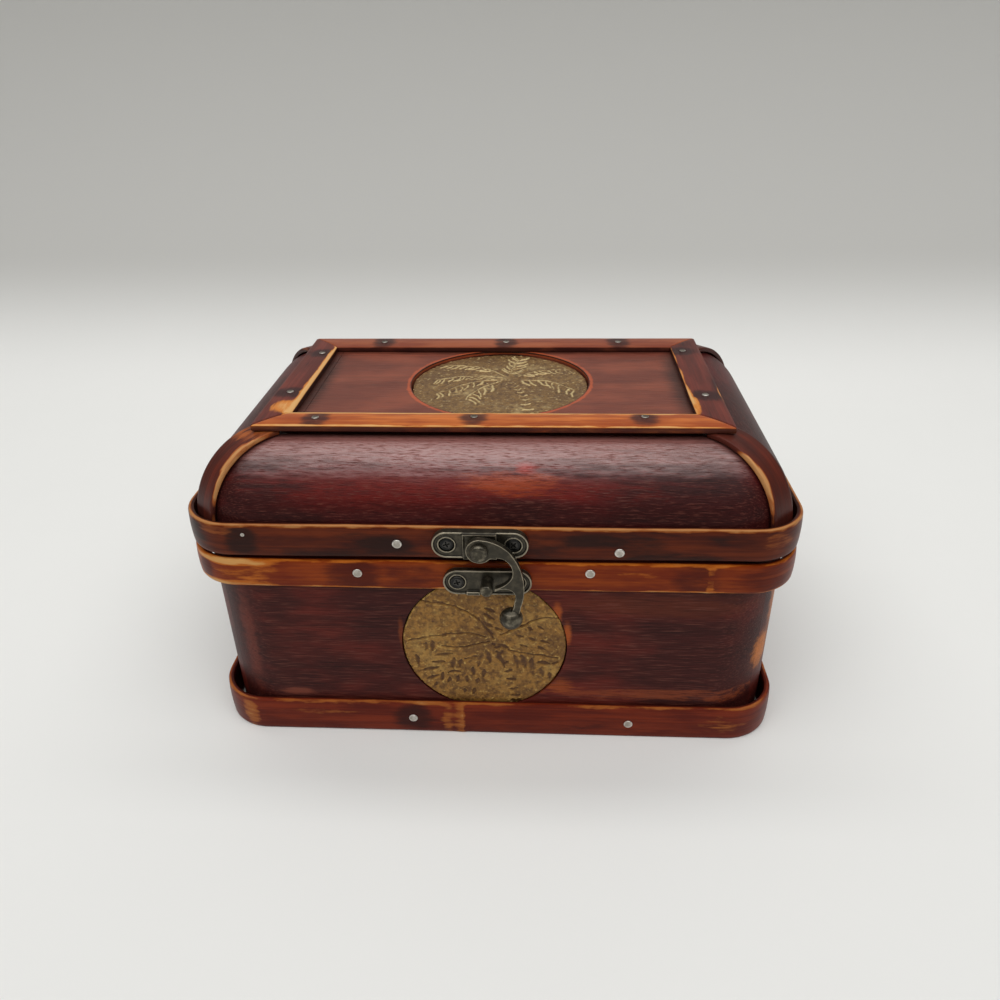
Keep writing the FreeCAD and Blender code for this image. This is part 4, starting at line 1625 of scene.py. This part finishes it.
@dataclass
class Fasteners:
    """Nails or screws of one node, all modelled alike.

    Attributes:
        node: The node that they stand for.
        body: The body that carries them.
        finish: Their steel.
        head_height: Height of a head in millimetres.
        shank_radius: Radius of a shank under its head.
        shank_length: Length of the longest shank that is modelled.
        taper: Share of the radius that is left at the shank's end.
        slot: Name of a material slot; not used.
    """

    node: str
    body: Body
    finish: WornMetal
    head_height: float = 0.5
    shank_radius: float = 0.6
    shank_length: float = math.inf
    taper: float = 0.4
    slot: str = "black_screw_steel"

    def model(self, radius: float, length: float) -> Object:
        """Model one fastener, head above the origin, from its head's radius and its shank's length."""
        raise NotImplementedError

    def pose(self, index: int) -> Matrix:
        """Own turn or size of one fastener, counted from the left."""
        raise NotImplementedError

    def pull_shank(self, obj: Object, radius: float, length: float) -> None:
        """Pull the shank from the underside of a head in edit mode.

        Args:
            obj: The head.
            radius: Radius of the head.
            length: Length of the shank.
        """
        pick(obj, Pick.FACES, lambda face: face.normal.z < -0.9)
        bpy.ops.mesh.inset(thickness=radius - self.shank_radius)
        pull((0, 0, -length))
        bpy.ops.transform.resize(value=(self.taper, self.taper, 1))

    def build(self, nodes: dict[str, Object]) -> None:
        """Model one fastener, copy it to every place of the node and settle the group.

        Args:
            nodes: The nodes of the box.
        """
        boxes = solids_of(nodes[self.node])
        sizes = sorted(boxes[0][1] - boxes[0][0])
        model = self.model(sizes[0] / 2, min(sizes[2] - self.head_height, self.shank_length))
        places = [head_place(*box, self.head_height) @ self.pose(index) for index, box in enumerate(boxes)]
        obj = copies(model, self.node + "_steel", places)
        paint(obj, "proud", proud(obj))
        settle(obj, self.body, self.finish, self.node)


@dataclass
class NailGroup(Fasteners):
    """Nails with flat hammered heads.

    Attributes:
        tacks: Numbers of the nails of which only a small head shows.
        tack_share: Size of those as a share of a nail.
    """

    shank_length: float = 2.0
    taper: float = 0.3
    slot: str = "nail_steel"
    tacks: tuple[int, ...] = ()
    tack_share: float = 0.4

    def model(self, radius: float, length: float) -> Object:
        """Model one nail with a bevelled and a little hollow head."""
        obj = add_drum("nail", radius, 0, self.head_height * 0.7, 20)
        with editing(obj):
            pick(obj, Pick.FACES, lambda face: face.normal.z > 0.9)
            for inset, rise in ((0.22, 0.3), (0.35, -0.12)):
                bpy.ops.mesh.inset(thickness=radius * inset)
                bpy.ops.transform.translate(value=(0, 0, self.head_height * rise))
            self.pull_shank(obj, radius, length)
        soften(obj, self.head_height * 0.15, 1, 30)
        return obj

    def pose(self, index: int) -> Matrix:
        """Size of one nail, smaller for a tack."""
        return Matrix.Scale(self.tack_share if index in self.tacks else 1.0, 4)


@dataclass
class ScrewGroup(Fasteners):
    """Cross-head screws, each turned its own way.

    Attributes:
        slot_share: Length of a slot as a share of the head.
        slot_width_share: Width of a slot as a share of the head's radius.
        first_turn: Turn of the first screw in degrees.
        next_turn: Turn from each screw to the next.
    """

    slot_share: float = 0.72
    slot_width_share: float = 0.3
    first_turn: float = 17.0
    next_turn: float = 31.0

    def model(self, radius: float, length: float) -> Object:
        """Model one screw with a domed head and two tapered slots."""
        top = self.head_height
        obj = add_drum("screw", radius, 0, top, 32)
        with editing(obj):
            pick(obj, Pick.FACES, lambda face: face.normal.z > 0.9)
            bpy.ops.mesh.bevel(offset=top * 0.45, segments=3, affect="EDGES")
            self.pull_shank(obj, radius, length)
        reach, half = radius * self.slot_share, radius * self.slot_width_share / 2
        for x, y in ((reach, half), (half, reach)):
            cutter = add_block("slot", (-x, -y, top * 0.4), (x, y, top * 2))
            with editing(cutter):
                pick(cutter, Pick.FACES, lambda face: face.normal.z < -0.9)
                bpy.ops.transform.resize(value=(0.5, 0.5, 1))
            combine(obj, cutter, "DIFFERENCE")
        turn_out(obj)
        return obj

    def pose(self, index: int) -> Matrix:
        """Turn of one screw's slots."""
        return Matrix.Rotation(math.radians(self.first_turn + self.next_turn * index), 4, "Z")


@dataclass
class SwingLatch:
    """Bronze latch: plate and rivet on the lid, the hook that swings on it, and the keeper on the base.

    Lengths are in millimetres. A lip has a width, a rise and a height, and a cell is a voxel of its mesh.
    """

    finish: WornMetal
    rim: float = 0.6
    sink: float = 0.6
    seat: float = 1.4
    block_width: float = 11.5
    block_inset: float = 0.3
    plate_thickness: float = 3.0
    keeper_thickness: float = 2.4
    lip: Point = (4.7, 0.6, 1.3)
    lip_shift: float = 5.0
    cell: float = 0.16
    wear_depth: float = 0.13
    handled: float = 0.3
    ball_radius: float = 3.6
    ball_growth: Point = (1.16, 1.0, 1.16)
    ball_lift: float = 0.5
    collar_radius: float = 3.2
    collar_wall: float = 0.45
    collar_height: float = 0.35
    overlap: float = 0.2
    chamfer: float = 0.8
    chamfer_rise: float = 0.35
    button_wear: float = 0.35

    def plate(self, name: str, low: Vector, high: Vector, thickness: float) -> Object:
        """Model a round-ended plate with a rim round a sunk floor.

        Args:
            name: Name of the plate.
            low: Lowest corner of the plate.
            high: Highest corner of the plate.
            thickness: How far the rim stands from the band.

        Returns:
            The plate.
        """
        back = high.y
        obj = add_block(name, (low.x, back - thickness, low.z), (high.x, back, high.z))
        with editing(obj):
            pick(obj, Pick.EDGES, lambda edge: abs(edge.verts[0].co.y - edge.verts[1].co.y) > thickness / 2)
            bpy.ops.mesh.bevel(offset=(high.z - low.z) / 2 - 0.02, segments=12, affect="EDGES")
            pick(obj, Pick.FACES, lambda face: face.normal.y < -0.9)
            bpy.ops.mesh.inset(thickness=self.rim)
            pull((0, self.sink, 0))
        turn_out(obj)
        return obj

    def seat_screws(self, obj: Object, low: Vector, high: Vector, thickness: float) -> None:
        """Raise a collar round each end of a plate and sink the screw's seat in it.

        Args:
            obj: The plate.
            low: Lowest corner of the plate.
            high: Highest corner of the plate.
            thickness: How far its rim stands from the band.
        """
        centre = (low + high) / 2
        floor = thickness - self.sink
        reach = (high.x - low.x) / 2 - (high.z - low.z) / 2
        for x in (centre.x - reach, centre.x + reach):
            place = facing_front(x, high.y - floor, centre.z)
            collar = add_drum("collar", self.collar_radius, -self.overlap, self.collar_height)
            combine(obj, move_mesh(collar, place), "UNION")
            well = add_drum("well", self.collar_radius - self.collar_wall, self.seat - floor, thickness)
            combine(obj, move_mesh(well, place), "DIFFERENCE")

    def build_plate(self) -> None:
        """Model the lid's plate with the raised block that carries the hook."""
        low, high = box_of("latch_plate")
        obj = self.plate("latch_plate_bronze", low, high, self.plate_thickness)
        centre = (low + high) / 2
        half = self.block_width / 2
        block = add_block("block", (centre.x - half, low.y, low.z + self.block_inset),
                          (centre.x + half, high.y - self.overlap, high.z - self.block_inset))
        with editing(block):
            pick(block, Pick.FACES, lambda face: face.normal.y < -0.9)
            bpy.ops.mesh.inset(thickness=self.chamfer)
            bpy.ops.transform.translate(value=(0, self.chamfer_rise, 0))
        combine(obj, block, "UNION")
        self.seat_screws(obj, low, high, self.plate_thickness)
        self.finish_piece(obj, Body.LID, "latch_plate")

    def build_keeper(self) -> None:
        """Model the base's plate with the small lip at its lower edge."""
        low, high = box_of("keeper_plate")
        obj = self.plate("keeper_plate_bronze", low, high, self.keeper_thickness)
        centre = (low + high) / 2
        width, rise, height = self.lip
        x = centre.x - self.lip_shift
        lip = add_block("lip", (x - width / 2, high.y - self.keeper_thickness - rise, low.z),
                        (x + width / 2, high.y - self.overlap, low.z + height))
        combine(obj, lip, "UNION")
        self.seat_screws(obj, low, high, self.keeper_thickness)
        self.finish_piece(obj, Body.BASE, "keeper_plate")

    def button(self, name: str, node: str, head: float, dome: float) -> Object:
        """Model a round piece that stands out to the front, with a domed end and a narrower tail.

        Args:
            name: Name of the piece.
            node: The node that it stands for.
            head: Length of its wide end.
            dome: How much of that is rounded.

        Returns:
            The piece in its place.
        """
        low, high = box_of(node)
        radius = (high.x - low.x) / 2
        length = high.y - low.y
        obj = add_drum(name, radius, 0, head, 40)
        with editing(obj):
            pick(obj, Pick.FACES, lambda face: face.normal.z > 0.9)
            bpy.ops.mesh.bevel(offset=dome, segments=6, affect="EDGES")
            pick(obj, Pick.FACES, lambda face: face.normal.z > 0.999 and middle(face).z > head - 1e-4)
            bpy.ops.mesh.inset(thickness=(radius - dome) * 0.5)
            bpy.ops.transform.translate(value=(0, 0, -0.12))
            pick(obj, Pick.FACES, lambda face: face.normal.z < -0.9)
            bpy.ops.mesh.inset(thickness=radius * 0.4)
            pull((0, 0, head - length))
        turn_out(obj)
        centre = (low + high) / 2
        return move_mesh(obj, facing_front(centre.x, low.y + head, centre.z))

    def build_hook(self, nodes: dict[str, Object]) -> None:
        """Swell the ball of the flat hook a little.

        Args:
            nodes: The nodes of the box.
        """
        obj = cad_copy(nodes["latch_hook"], "latch_hook_bronze")
        low, _ = box_of("latch_hook")
        points = points_of(obj)
        bottom = points[points[:, 2].argmin()]
        ball = np.array([bottom[0], low.y + self.ball_radius, low.z + self.ball_radius])
        on_ball = np.abs(np.linalg.norm(points - ball, axis=1) - self.ball_radius) < 0.03
        points[on_ball] = ball + (points[on_ball] - ball) * self.ball_growth + (0, 0, self.ball_lift)
        set_points(obj, points)
        self.finish_piece(obj, Body.HOOK, "latch_hook", touched=ball[2] + self.ball_radius)

    def finish_piece(self, obj: Object, body: Body, node: str, wear: float = 1.0,
                     touched: float = -1.0) -> None:
        """Mesh a bronze piece finely, soften it like a casting, find what stands proud and settle it.

        Args:
            obj: The piece.
            body: The body that carries it.
            node: The node that it stands for.
            wear: How much its edges are rubbed.
            touched: Height below which fingers have rubbed it all over.
        """
        apply_modifier(obj, "REMESH", mode="VOXEL", voxel_size=self.cell)
        apply_modifier(obj, "SMOOTH", factor=0.5, iterations=3)
        handled = self.handled * (points_of(obj)[:, 2] < touched)
        paint(obj, "proud", np.clip(wear * standing(obj) / self.wear_depth + handled, -1, 1))
        settle(obj, body, self.finish, node)

    def build(self, nodes: dict[str, Object]) -> None:
        """Model every piece of the latch.

        Args:
            nodes: The nodes of the box.
        """
        self.build_plate()
        self.build_keeper()
        self.build_hook(nodes)
        buttons = (("latch_rivet", Body.LID, 1.9, 1.0), ("keeper_stud", Body.BASE, 6.6, 0.8))
        for node, body, head, dome in buttons:
            obj = self.button(node + "_bronze", node, head, dome)
            self.finish_piece(obj, body, node, self.button_wear, math.inf)


def cad_copy(cad: Object, name: str) -> Object:
    """Copy a node in millimetres, with its points merged and its flats joined.

    Args:
        cad: The node's object.
        name: Name of the copy.

    Returns:
        The copy, a closed mesh.
    """
    obj = bpy.data.objects.new(name, cad.data.copy())
    obj.data.name = name
    bpy.context.scene.collection.objects.link(obj)
    move_mesh(obj, Matrix.Scale(1 / MM, 4))
    activate(obj)
    bpy.ops.mesh.customdata_custom_splitnormals_clear()
    with editing(obj):
        bpy.ops.mesh.remove_doubles(threshold=1e-3)
        bpy.ops.mesh.dissolve_limited(angle_limit=math.radians(0.5))
    return obj


@dataclass
class Hinges:
    """Two small butt hinges on the back: leaves, pins and screws."""

    finish: WornMetal
    screws: WornMetal
    edge: float = 0.25

    def build(self, nodes: dict[str, Object]) -> None:
        """Round the edges of the leaves and pins and settle them.

        Args:
            nodes: The nodes of the box.
        """
        for side in ("left", "right"):
            for part, body in (("base_leaf", Body.BASE), ("lid_leaf", Body.LID), ("pin", Body.BASE)):
                node = f"hinge_{part}_{side}"
                obj = cad_copy(nodes[node], node + "_bronze")
                soften(obj, self.edge, 2, 50)
                paint(obj, "proud", proud(obj))
                settle(obj, body, self.finish, node)
        for node, body in (("hinge_base_screws", Body.BASE), ("hinge_lid_screws", Body.LID)):
            ScrewGroup(node, body, self.screws, head_height=0.7, shank_radius=0.8).build(nodes)


# Boards


@dataclass
class Boards:
    """Stained boards of the base and the lid, which keep their CAD shapes and get their finish.

    Attributes:
        finishes: The finish of each node.
    """

    finishes: dict[str, StainedBoard]

    def build(self, nodes: dict[str, Object]) -> None:
        """Give every board its finish.

        Args:
            nodes: The nodes of the box.
        """
        for node, finish in self.finishes.items():
            materials = nodes[node].data.materials
            materials.clear()
            materials.append(finish.material())
            log.info("%s wears %s", node, finish.name)


# Studio


@dataclass
class Studio:
    """Paper sweep, a strip light overhead, a softbox in front and the camera, in metres.

    The directions right and up are those of the picture. Lens and sensor are in millimetres.
    """

    paper: StudioPaper = StudioPaper("matt_paper_sweep")
    eye: Point = (0.01943, -0.30581, 0.23826)
    right: Point = (0.99844, 0.05282, -0.01817)
    up: Point = (-0.01022, 0.49248, 0.87026)
    lens: float = 29.14
    sensor: float = 36.0
    half_width: float = 1.6
    near: float = -1.4
    bend_start: float = 0.26
    bend_radius: float = 0.28
    wall_top: float = 1.7

    def build_sweep(self) -> None:
        """Pull a line along the floor, round a bend and up the wall."""
        deselect_all()
        bpy.ops.mesh.primitive_plane_add(size=1, location=(0, (self.near + self.bend_start) / 2, 0))
        obj = name_new("paper_sweep", (2 * self.half_width, self.bend_start - self.near, 1))
        with editing(obj):
            pick(obj, Pick.EDGES, lambda edge: middle(edge).y > self.bend_start - 1e-4)
            bpy.ops.mesh.spin(steps=24, angle=-math.pi / 2, axis=(1, 0, 0),
                              center=(0, self.bend_start, self.bend_radius))
            pick(obj, Pick.EDGES, lambda edge: middle(edge).z > self.bend_radius - 1e-4)
            pull((0, 0, self.wall_top - self.bend_radius))
        activate(obj)
        bpy.ops.object.shade_smooth()
        obj.data.materials.append(self.paper.material())

    def add_lamp(self, name: str, place: Point, aim: Point, size: Span, power: float) -> None:
        """Add a soft rectangular lamp.

        Args:
            name: Name of the lamp.
            place: Where it hangs.
            aim: What it points at.
            size: Width and depth in metres.
            power: Its power in watts.
        """
        deselect_all()
        bpy.ops.object.light_add(type="AREA", location=place)
        lamp = bpy.context.object
        lamp.name = name
        lamp.rotation_euler = (Vector(aim) - Vector(place)).to_track_quat("-Z", "Y").to_euler()
        lamp.data.shape = "RECTANGLE"
        lamp.data.size, lamp.data.size_y = size
        lamp.data.energy = power

    def build_light(self) -> None:
        """Hang a strip light overhead and a large softbox in front, and fill the room evenly."""
        self.add_lamp("overhead_strip", (0.0, 0.25, 1.00), (0.0, 0.06, 0.0), (1.5, 0.2), 2.8)
        self.add_lamp("front_softbox", (0.0, -0.9, 2.0), (0.0, 0.0, 0.05), (4.0, 2.0), 54.0)
        world = bpy.data.worlds.new("soft_room")
        world.use_nodes = True
        background = world.node_tree.nodes["Background"]
        background.inputs["Color"].default_value = linear("#f4f5f8")
        background.inputs["Strength"].default_value = 0.10
        bpy.context.scene.world = world

    def build_camera(self) -> None:
        """Set the camera where the photograph was taken from."""
        deselect_all()
        bpy.ops.object.camera_add(location=self.eye)
        camera = bpy.context.object
        camera.name = "camera"
        right, up = Vector(self.right), Vector(self.up)
        turn = Matrix((right, up, right.cross(up))).transposed()
        camera.rotation_euler = turn.to_euler()
        camera.data.lens = self.lens
        camera.data.sensor_width = self.sensor
        camera.data.sensor_fit = "HORIZONTAL"
        bpy.context.scene.camera = camera

    def build(self) -> None:
        """Build the sweep, the light and the camera."""
        self.build_sweep()
        self.build_light()
        self.build_camera()
        bpy.context.scene.view_settings.view_transform = "Standard"


# The box's own finishes

ORANGE = "#b45a26"
CORNER = (
    Patch((102.4, -60.2, 35.5), (7.0, 9.0, 11.0), "#c8742c", 0.95),
    Patch((105.5, -55.0, 56.0), (5.0, 7.0, 18.0), "#c07038", 0.8),
)
BASE_FRONT = StainedBoard("base_front_stain", patches=(
    Patch((-92.0, -70.0, 42.0), (4.0, 30.0, 30.0), "#7a382a", 0.5, ragged=1.3),
    Patch((62.0, -70.5, 19.5), (52.0, 20.0, 3.4), "#9c4c2a", 0.5, ragged=3.2),
    Patch((60.0, -70.5, 62.0), (50.0, 20.0, 7.0), "#5e2a1a", 0.7, ragged=1.3),
    Patch((24.4, -70.5, 57.5), (2.4, 20.0, 7.0), ORANGE, 0.7),
    Patch((28.2, -70.5, 49.0), (2.4, 20.0, 7.0), ORANGE, 0.75),
    Patch((26.0, -70.5, 24.0), (6.0, 20.0, 5.0), ORANGE, 0.4, ragged=1.8),
    Patch((-33.2, -70.5, 48.0), (1.6, 20.0, 9.0), "#8c4420", 0.5),
    Patch((-76.0, -70.5, 18.0), (9.0, 20.0, 2.2), "#8a4a38", 0.6, ragged=1.4),
    *CORNER,
))
BASE_SIDE = StainedBoard("base_side_stain", grain=Grain.ALONG_Y, patches=CORNER)
BASE_BACK = StainedBoard("base_back_stain")
CREST = Patch((0.0, -58.0, 121.5), (210.0, 40.0, 15.0), "#ffffff", 0.9, ragged=0.5)
LID_SIDE = StainedBoard("lid_side_stain", grain=Grain.ALONG_Y, deep="#381514", warm="#521817", roughness=0.4,
                        rib_depth=0.14, pore_length=4.0, pore_width=0.4)
LID_LONG = replace(LID_SIDE, name="lid_roll_stain", grain=Grain.ALONG_X, polished=CREST, patches=(
    # Painted sheen: the crest of the roll is painted grey-pink where it turns up to the light
    Patch((0.0, -56.0, 120.0), (170.0, 24.0, 12.0), "#9a625a", 0.85, ragged=0.6),
    Patch((-10.0, -66.0, 108.0), (90.0, 18.0, 7.5), "#761b12", 0.55, ragged=1.4),
    Patch((-30.0, -68.0, 101.0), (55.0, 9.0, 4.0), "#5c140f", 0.4, ragged=1.2),
    Patch((0.0, -70.0, 97.0), (120.0, 20.0, 7.0), "#2c110f", 0.5, ragged=1.0),
    Patch((13.0, -62.0, 111.8), (5.5, 6.0, 2.2), "#a8352a", 0.8),
    Patch((9.0, -64.5, 108.8), (22.0, 6.0, 5.0), "#a0441c", 0.62, ragged=2.2),
))
# Painted shade on the top panel along the frame strips, where they shade it
SHADE = "#240f0a"
LID_TOP = StainedBoard(
    "lid_top_stain", deep="#6c3426", warm="#874531", dark="#452218", gloss=0.3, patches=(
        Patch((-74.0, 0.0, 119.3), (9.0, 60.0, 4.0), SHADE, 0.85, ragged=0.6),
        Patch((75.0, 0.0, 119.3), (10.0, 60.0, 4.0), SHADE, 0.8, ragged=0.6),
        Patch((0.0, 39.0, 119.3), (120.0, 8.0, 4.0), SHADE, 0.85, ragged=0.6),
        Patch((0.0, -38.0, 119.3), (120.0, 6.0, 4.0), SHADE, 0.6, ragged=0.8),
        Patch((1.0, 1.5, 119.3), (36.7, 36.7, 4.0), "#b8542c", 0.75, ring=0.024, ragged=2.2),
        # Painted shadow line round the disc's hole
        Patch((1.0, 1.5, 119.3), (35.7, 35.7, 4.0), "#1c0d09", 0.8, ring=0.012, ragged=0.4),
    ))
INSIDE = StainedBoard("bottom_board_stain", deep="#5a3326", warm="#7a4a35", dark="#382018")

LID_BAND = ScorchedBamboo("bamboo_lid_band", pale="#66290f", deep="#42160b", burnt="#24120e", amber="#8a481e",
                          bare="#ac7644", char=0.5)
RIM_BAND = ScorchedBamboo("bamboo_rim_band", pale="#8f3d0f", deep="#6a2209", burnt="#4a150a", amber="#b8641f",
                          bare="#cf9a5a", char=0.0)
FOOT_BAND = ScorchedBamboo("bamboo_foot_band", pale="#7a2c14", deep="#571a0e", burnt="#33120e",
                           amber="#a05a26", bare="#cc9c5c", char=0.1)
FRONT_STRIP = ScorchedBamboo("bamboo_front_strip", pale="#cc7436", deep="#96451f", burnt="#33191a",
                             amber="#d08c48", char=0.0)
BACK_STRIP = ScorchedBamboo("bamboo_back_strip", pale="#9a5638", deep="#7a3a28", char=0.1)
SIDE_STRIP = ScorchedBamboo("bamboo_side_strip", pale="#74342a", deep="#52251f", amber="#cc7c30", char=0.3)
STRAP = ScorchedBamboo("bamboo_hip_strap", pale="#61281c", deep="#43201a", amber="#a4582a", bare="#c08c58",
                       char=0.3)

FRONT_GILT = GiltCasting("gilt_front_medallion", gold="#9c7030", dull="#64421c", glaze="#4a2b15",
                         bright="#c8a258")
TOP_GILT = GiltCasting("gilt_top_medallion", gold="#86663a", dull="#684b2e", glaze="#3c2818",
                       bright="#d2bb86")
BRONZE = WornMetal("aged_bronze_skin", skin="#37332a", cloud="#4c4639", metallic=0.7, roughness=0.34, rub=0.7)
HINGE_BRONZE = WornMetal("aged_bronze_leaf", rub=0.7, dent=0.015, cloud_size=6.0)
NAIL = WornMetal("bright_nail_steel", skin="#a39c92", cloud="#c9c3ba", bright="#e6e1d8", metallic=0.85,
                 roughness=0.38)
DULL_NAIL = WornMetal("tarnished_nail_steel", skin="#5d544a", cloud="#8d857a", bright="#d8d2c8",
                      metallic=0.85, roughness=0.4)
BLACK = WornMetal("blackened_screw_steel", skin="#0d0d0c", cloud="#171614", bright="#4a4742", rub=0.7,
                  roughness=0.28)


# The box's own pieces

BOARDS = Boards({
    "base_front_board": BASE_FRONT, "base_back_board": BASE_BACK, "base_left_board": BASE_SIDE,
    "base_right_board": BASE_SIDE, "base_bottom_board": INSIDE, "lid_front_moulding": LID_LONG,
    "lid_back_moulding": LID_LONG, "lid_left_moulding": LID_SIDE, "lid_right_moulding": LID_SIDE,
    "lid_top_panel": LID_TOP, "lid_panel_end_strip": LID_TOP,
})
BANDS = (
    BentBand(
        "base_foot_band", Body.BASE, FOOT_BAND,
        blots=(Blot(-31.0, 0.0, 9.0), Blot(40.0, -2.0, 30.0, 6.0, 0.35)),
        knots=(-12.3,),
        worn=(Blot(-96.5, 0.0, 4.5, 9.0, 0.6), Blot(-17.5, 0.0, 3.5, 9.0, 0.5),
              Blot(-70.0, 3.0, 24.0, 4.0, 0.34), Blot(88.0, 0.0, 14.0, 6.0, 0.36)),
        bared=(0.48, 0.2), seed=1.3,
    ),
    BentBand(
        "base_rim_band", Body.BASE, RIM_BAND,
        blots=(Blot(-48.0, 0.0, 12.0), Blot(-103.0, 0.0, 4.0), Blot(-28.0, 0.0, 13.0, 9.0, 0.55),
               Blot(72.0, 0.0, 10.0, 9.0, 0.66), Blot(98.0, -1.0, 16.0, 9.0, 0.6)),
        knots=(77.0,),
        worn=(Blot(-86.0, 0.0, 16.0, 7.0, 0.42), Blot(-93.0, 4.6, 20.0, 1.6, 0.95),
              Blot(-93.0, -4.8, 20.0, 1.3, 0.8), Blot(50.0, 1.0, 14.0, 3.0, 0.36)),
        bared=(0.52, 0.7), knot_bare=0.42, seed=4.1,
    ),
    BentBand(
        "lid_band", Body.LID, LID_BAND,
        blots=(Blot(-86.0, 0.0, 7.0), Blot(-104.0, 1.0, 6.0, 6.0, 0.7), Blot(-36.0, -1.0, 12.0, 5.0),
               Blot(-45.0, -4.5, 40.0, 2.4, 0.62), Blot(-42.0, 2.5, 14.0, 2.0, 0.55),
               Blot(20.0, -1.0, 10.0, 7.0, 0.5), Blot(37.0, 1.5, 15.0, 3.5),
               Blot(52.0, 0.0, 12.0, 7.0, 0.55), Blot(62.0, -5.0, 22.0, 2.6, 0.7)),
        worn=(Blot(99.0, 1.0, 8.0, 5.0, 0.45), Blot(-95.0, 3.5, 9.0, 2.5, 0.5)),
        bared=(0.85, 0.05), seed=8.7,
    ),
)
STRIPS = (
    FrameStrip(Side.FRONT, FRONT_STRIP, rub=(0.62, 0.72), bared=(0.75, 0.8), outer_rub=0.82),
    FrameStrip(Side.BACK, BACK_STRIP, bared=(0.0, 0.0), seed=5.7),
    FrameStrip(Side.LEFT, SIDE_STRIP, worn=(Blot(32.0, 1.0, 7.0, 4.5, 0.7),), rub=(0.7, 0.5),
               bared=(0.3, 0.95), seed=9.4),
    FrameStrip(Side.RIGHT, SIDE_STRIP, worn=(Blot(-28.0, 4.5, 9.0, 1.8, 0.7),), rub=(0.7, 0.95),
               bared=(0.85, 0.8), seed=13.1),
)
NAILS = (
    NailGroup("foot_band_nails", Body.BASE, NAIL), NailGroup("rim_band_nails", Body.BASE, NAIL),
    NailGroup("lid_band_nails", Body.LID, NAIL, tacks=(2,)),
    NailGroup("frame_strip_nails", Body.LID, DULL_NAIL),
)


def main() -> None:
    """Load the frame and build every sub-assembly."""
    logging.basicConfig(level=logging.INFO, format="%(name)s: %(message)s")
    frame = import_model()
    nodes = frame["nodes"]
    Studio().build()
    BOARDS.build(nodes)
    for band in BANDS:
        band.build()
    for strip in STRIPS:
        strip.build(nodes)
    HipStraps(STRAP).build()
    Medallion("front_medallion", Body.BASE, FRONT_GILT, FRONT_PALM, upright=True, seed=3.0).build()
    Medallion("top_medallion", Body.LID, TOP_GILT, TOP_PALM, cut=-0.35, cells=260, seed=9.0).build()
    for group in NAILS:
        group.build(nodes)
    SwingLatch(BRONZE).build(nodes)
    for node, body in (("latch_plate_screws", Body.LID), ("keeper_screws", Body.BASE)):
        ScrewGroup(node, body, BLACK, head_height=1.1, shank_radius=1.1).build(nodes)
    Hinges(HINGE_BRONZE, BLACK).build(nodes)


if __name__ == "__main__":
    main()
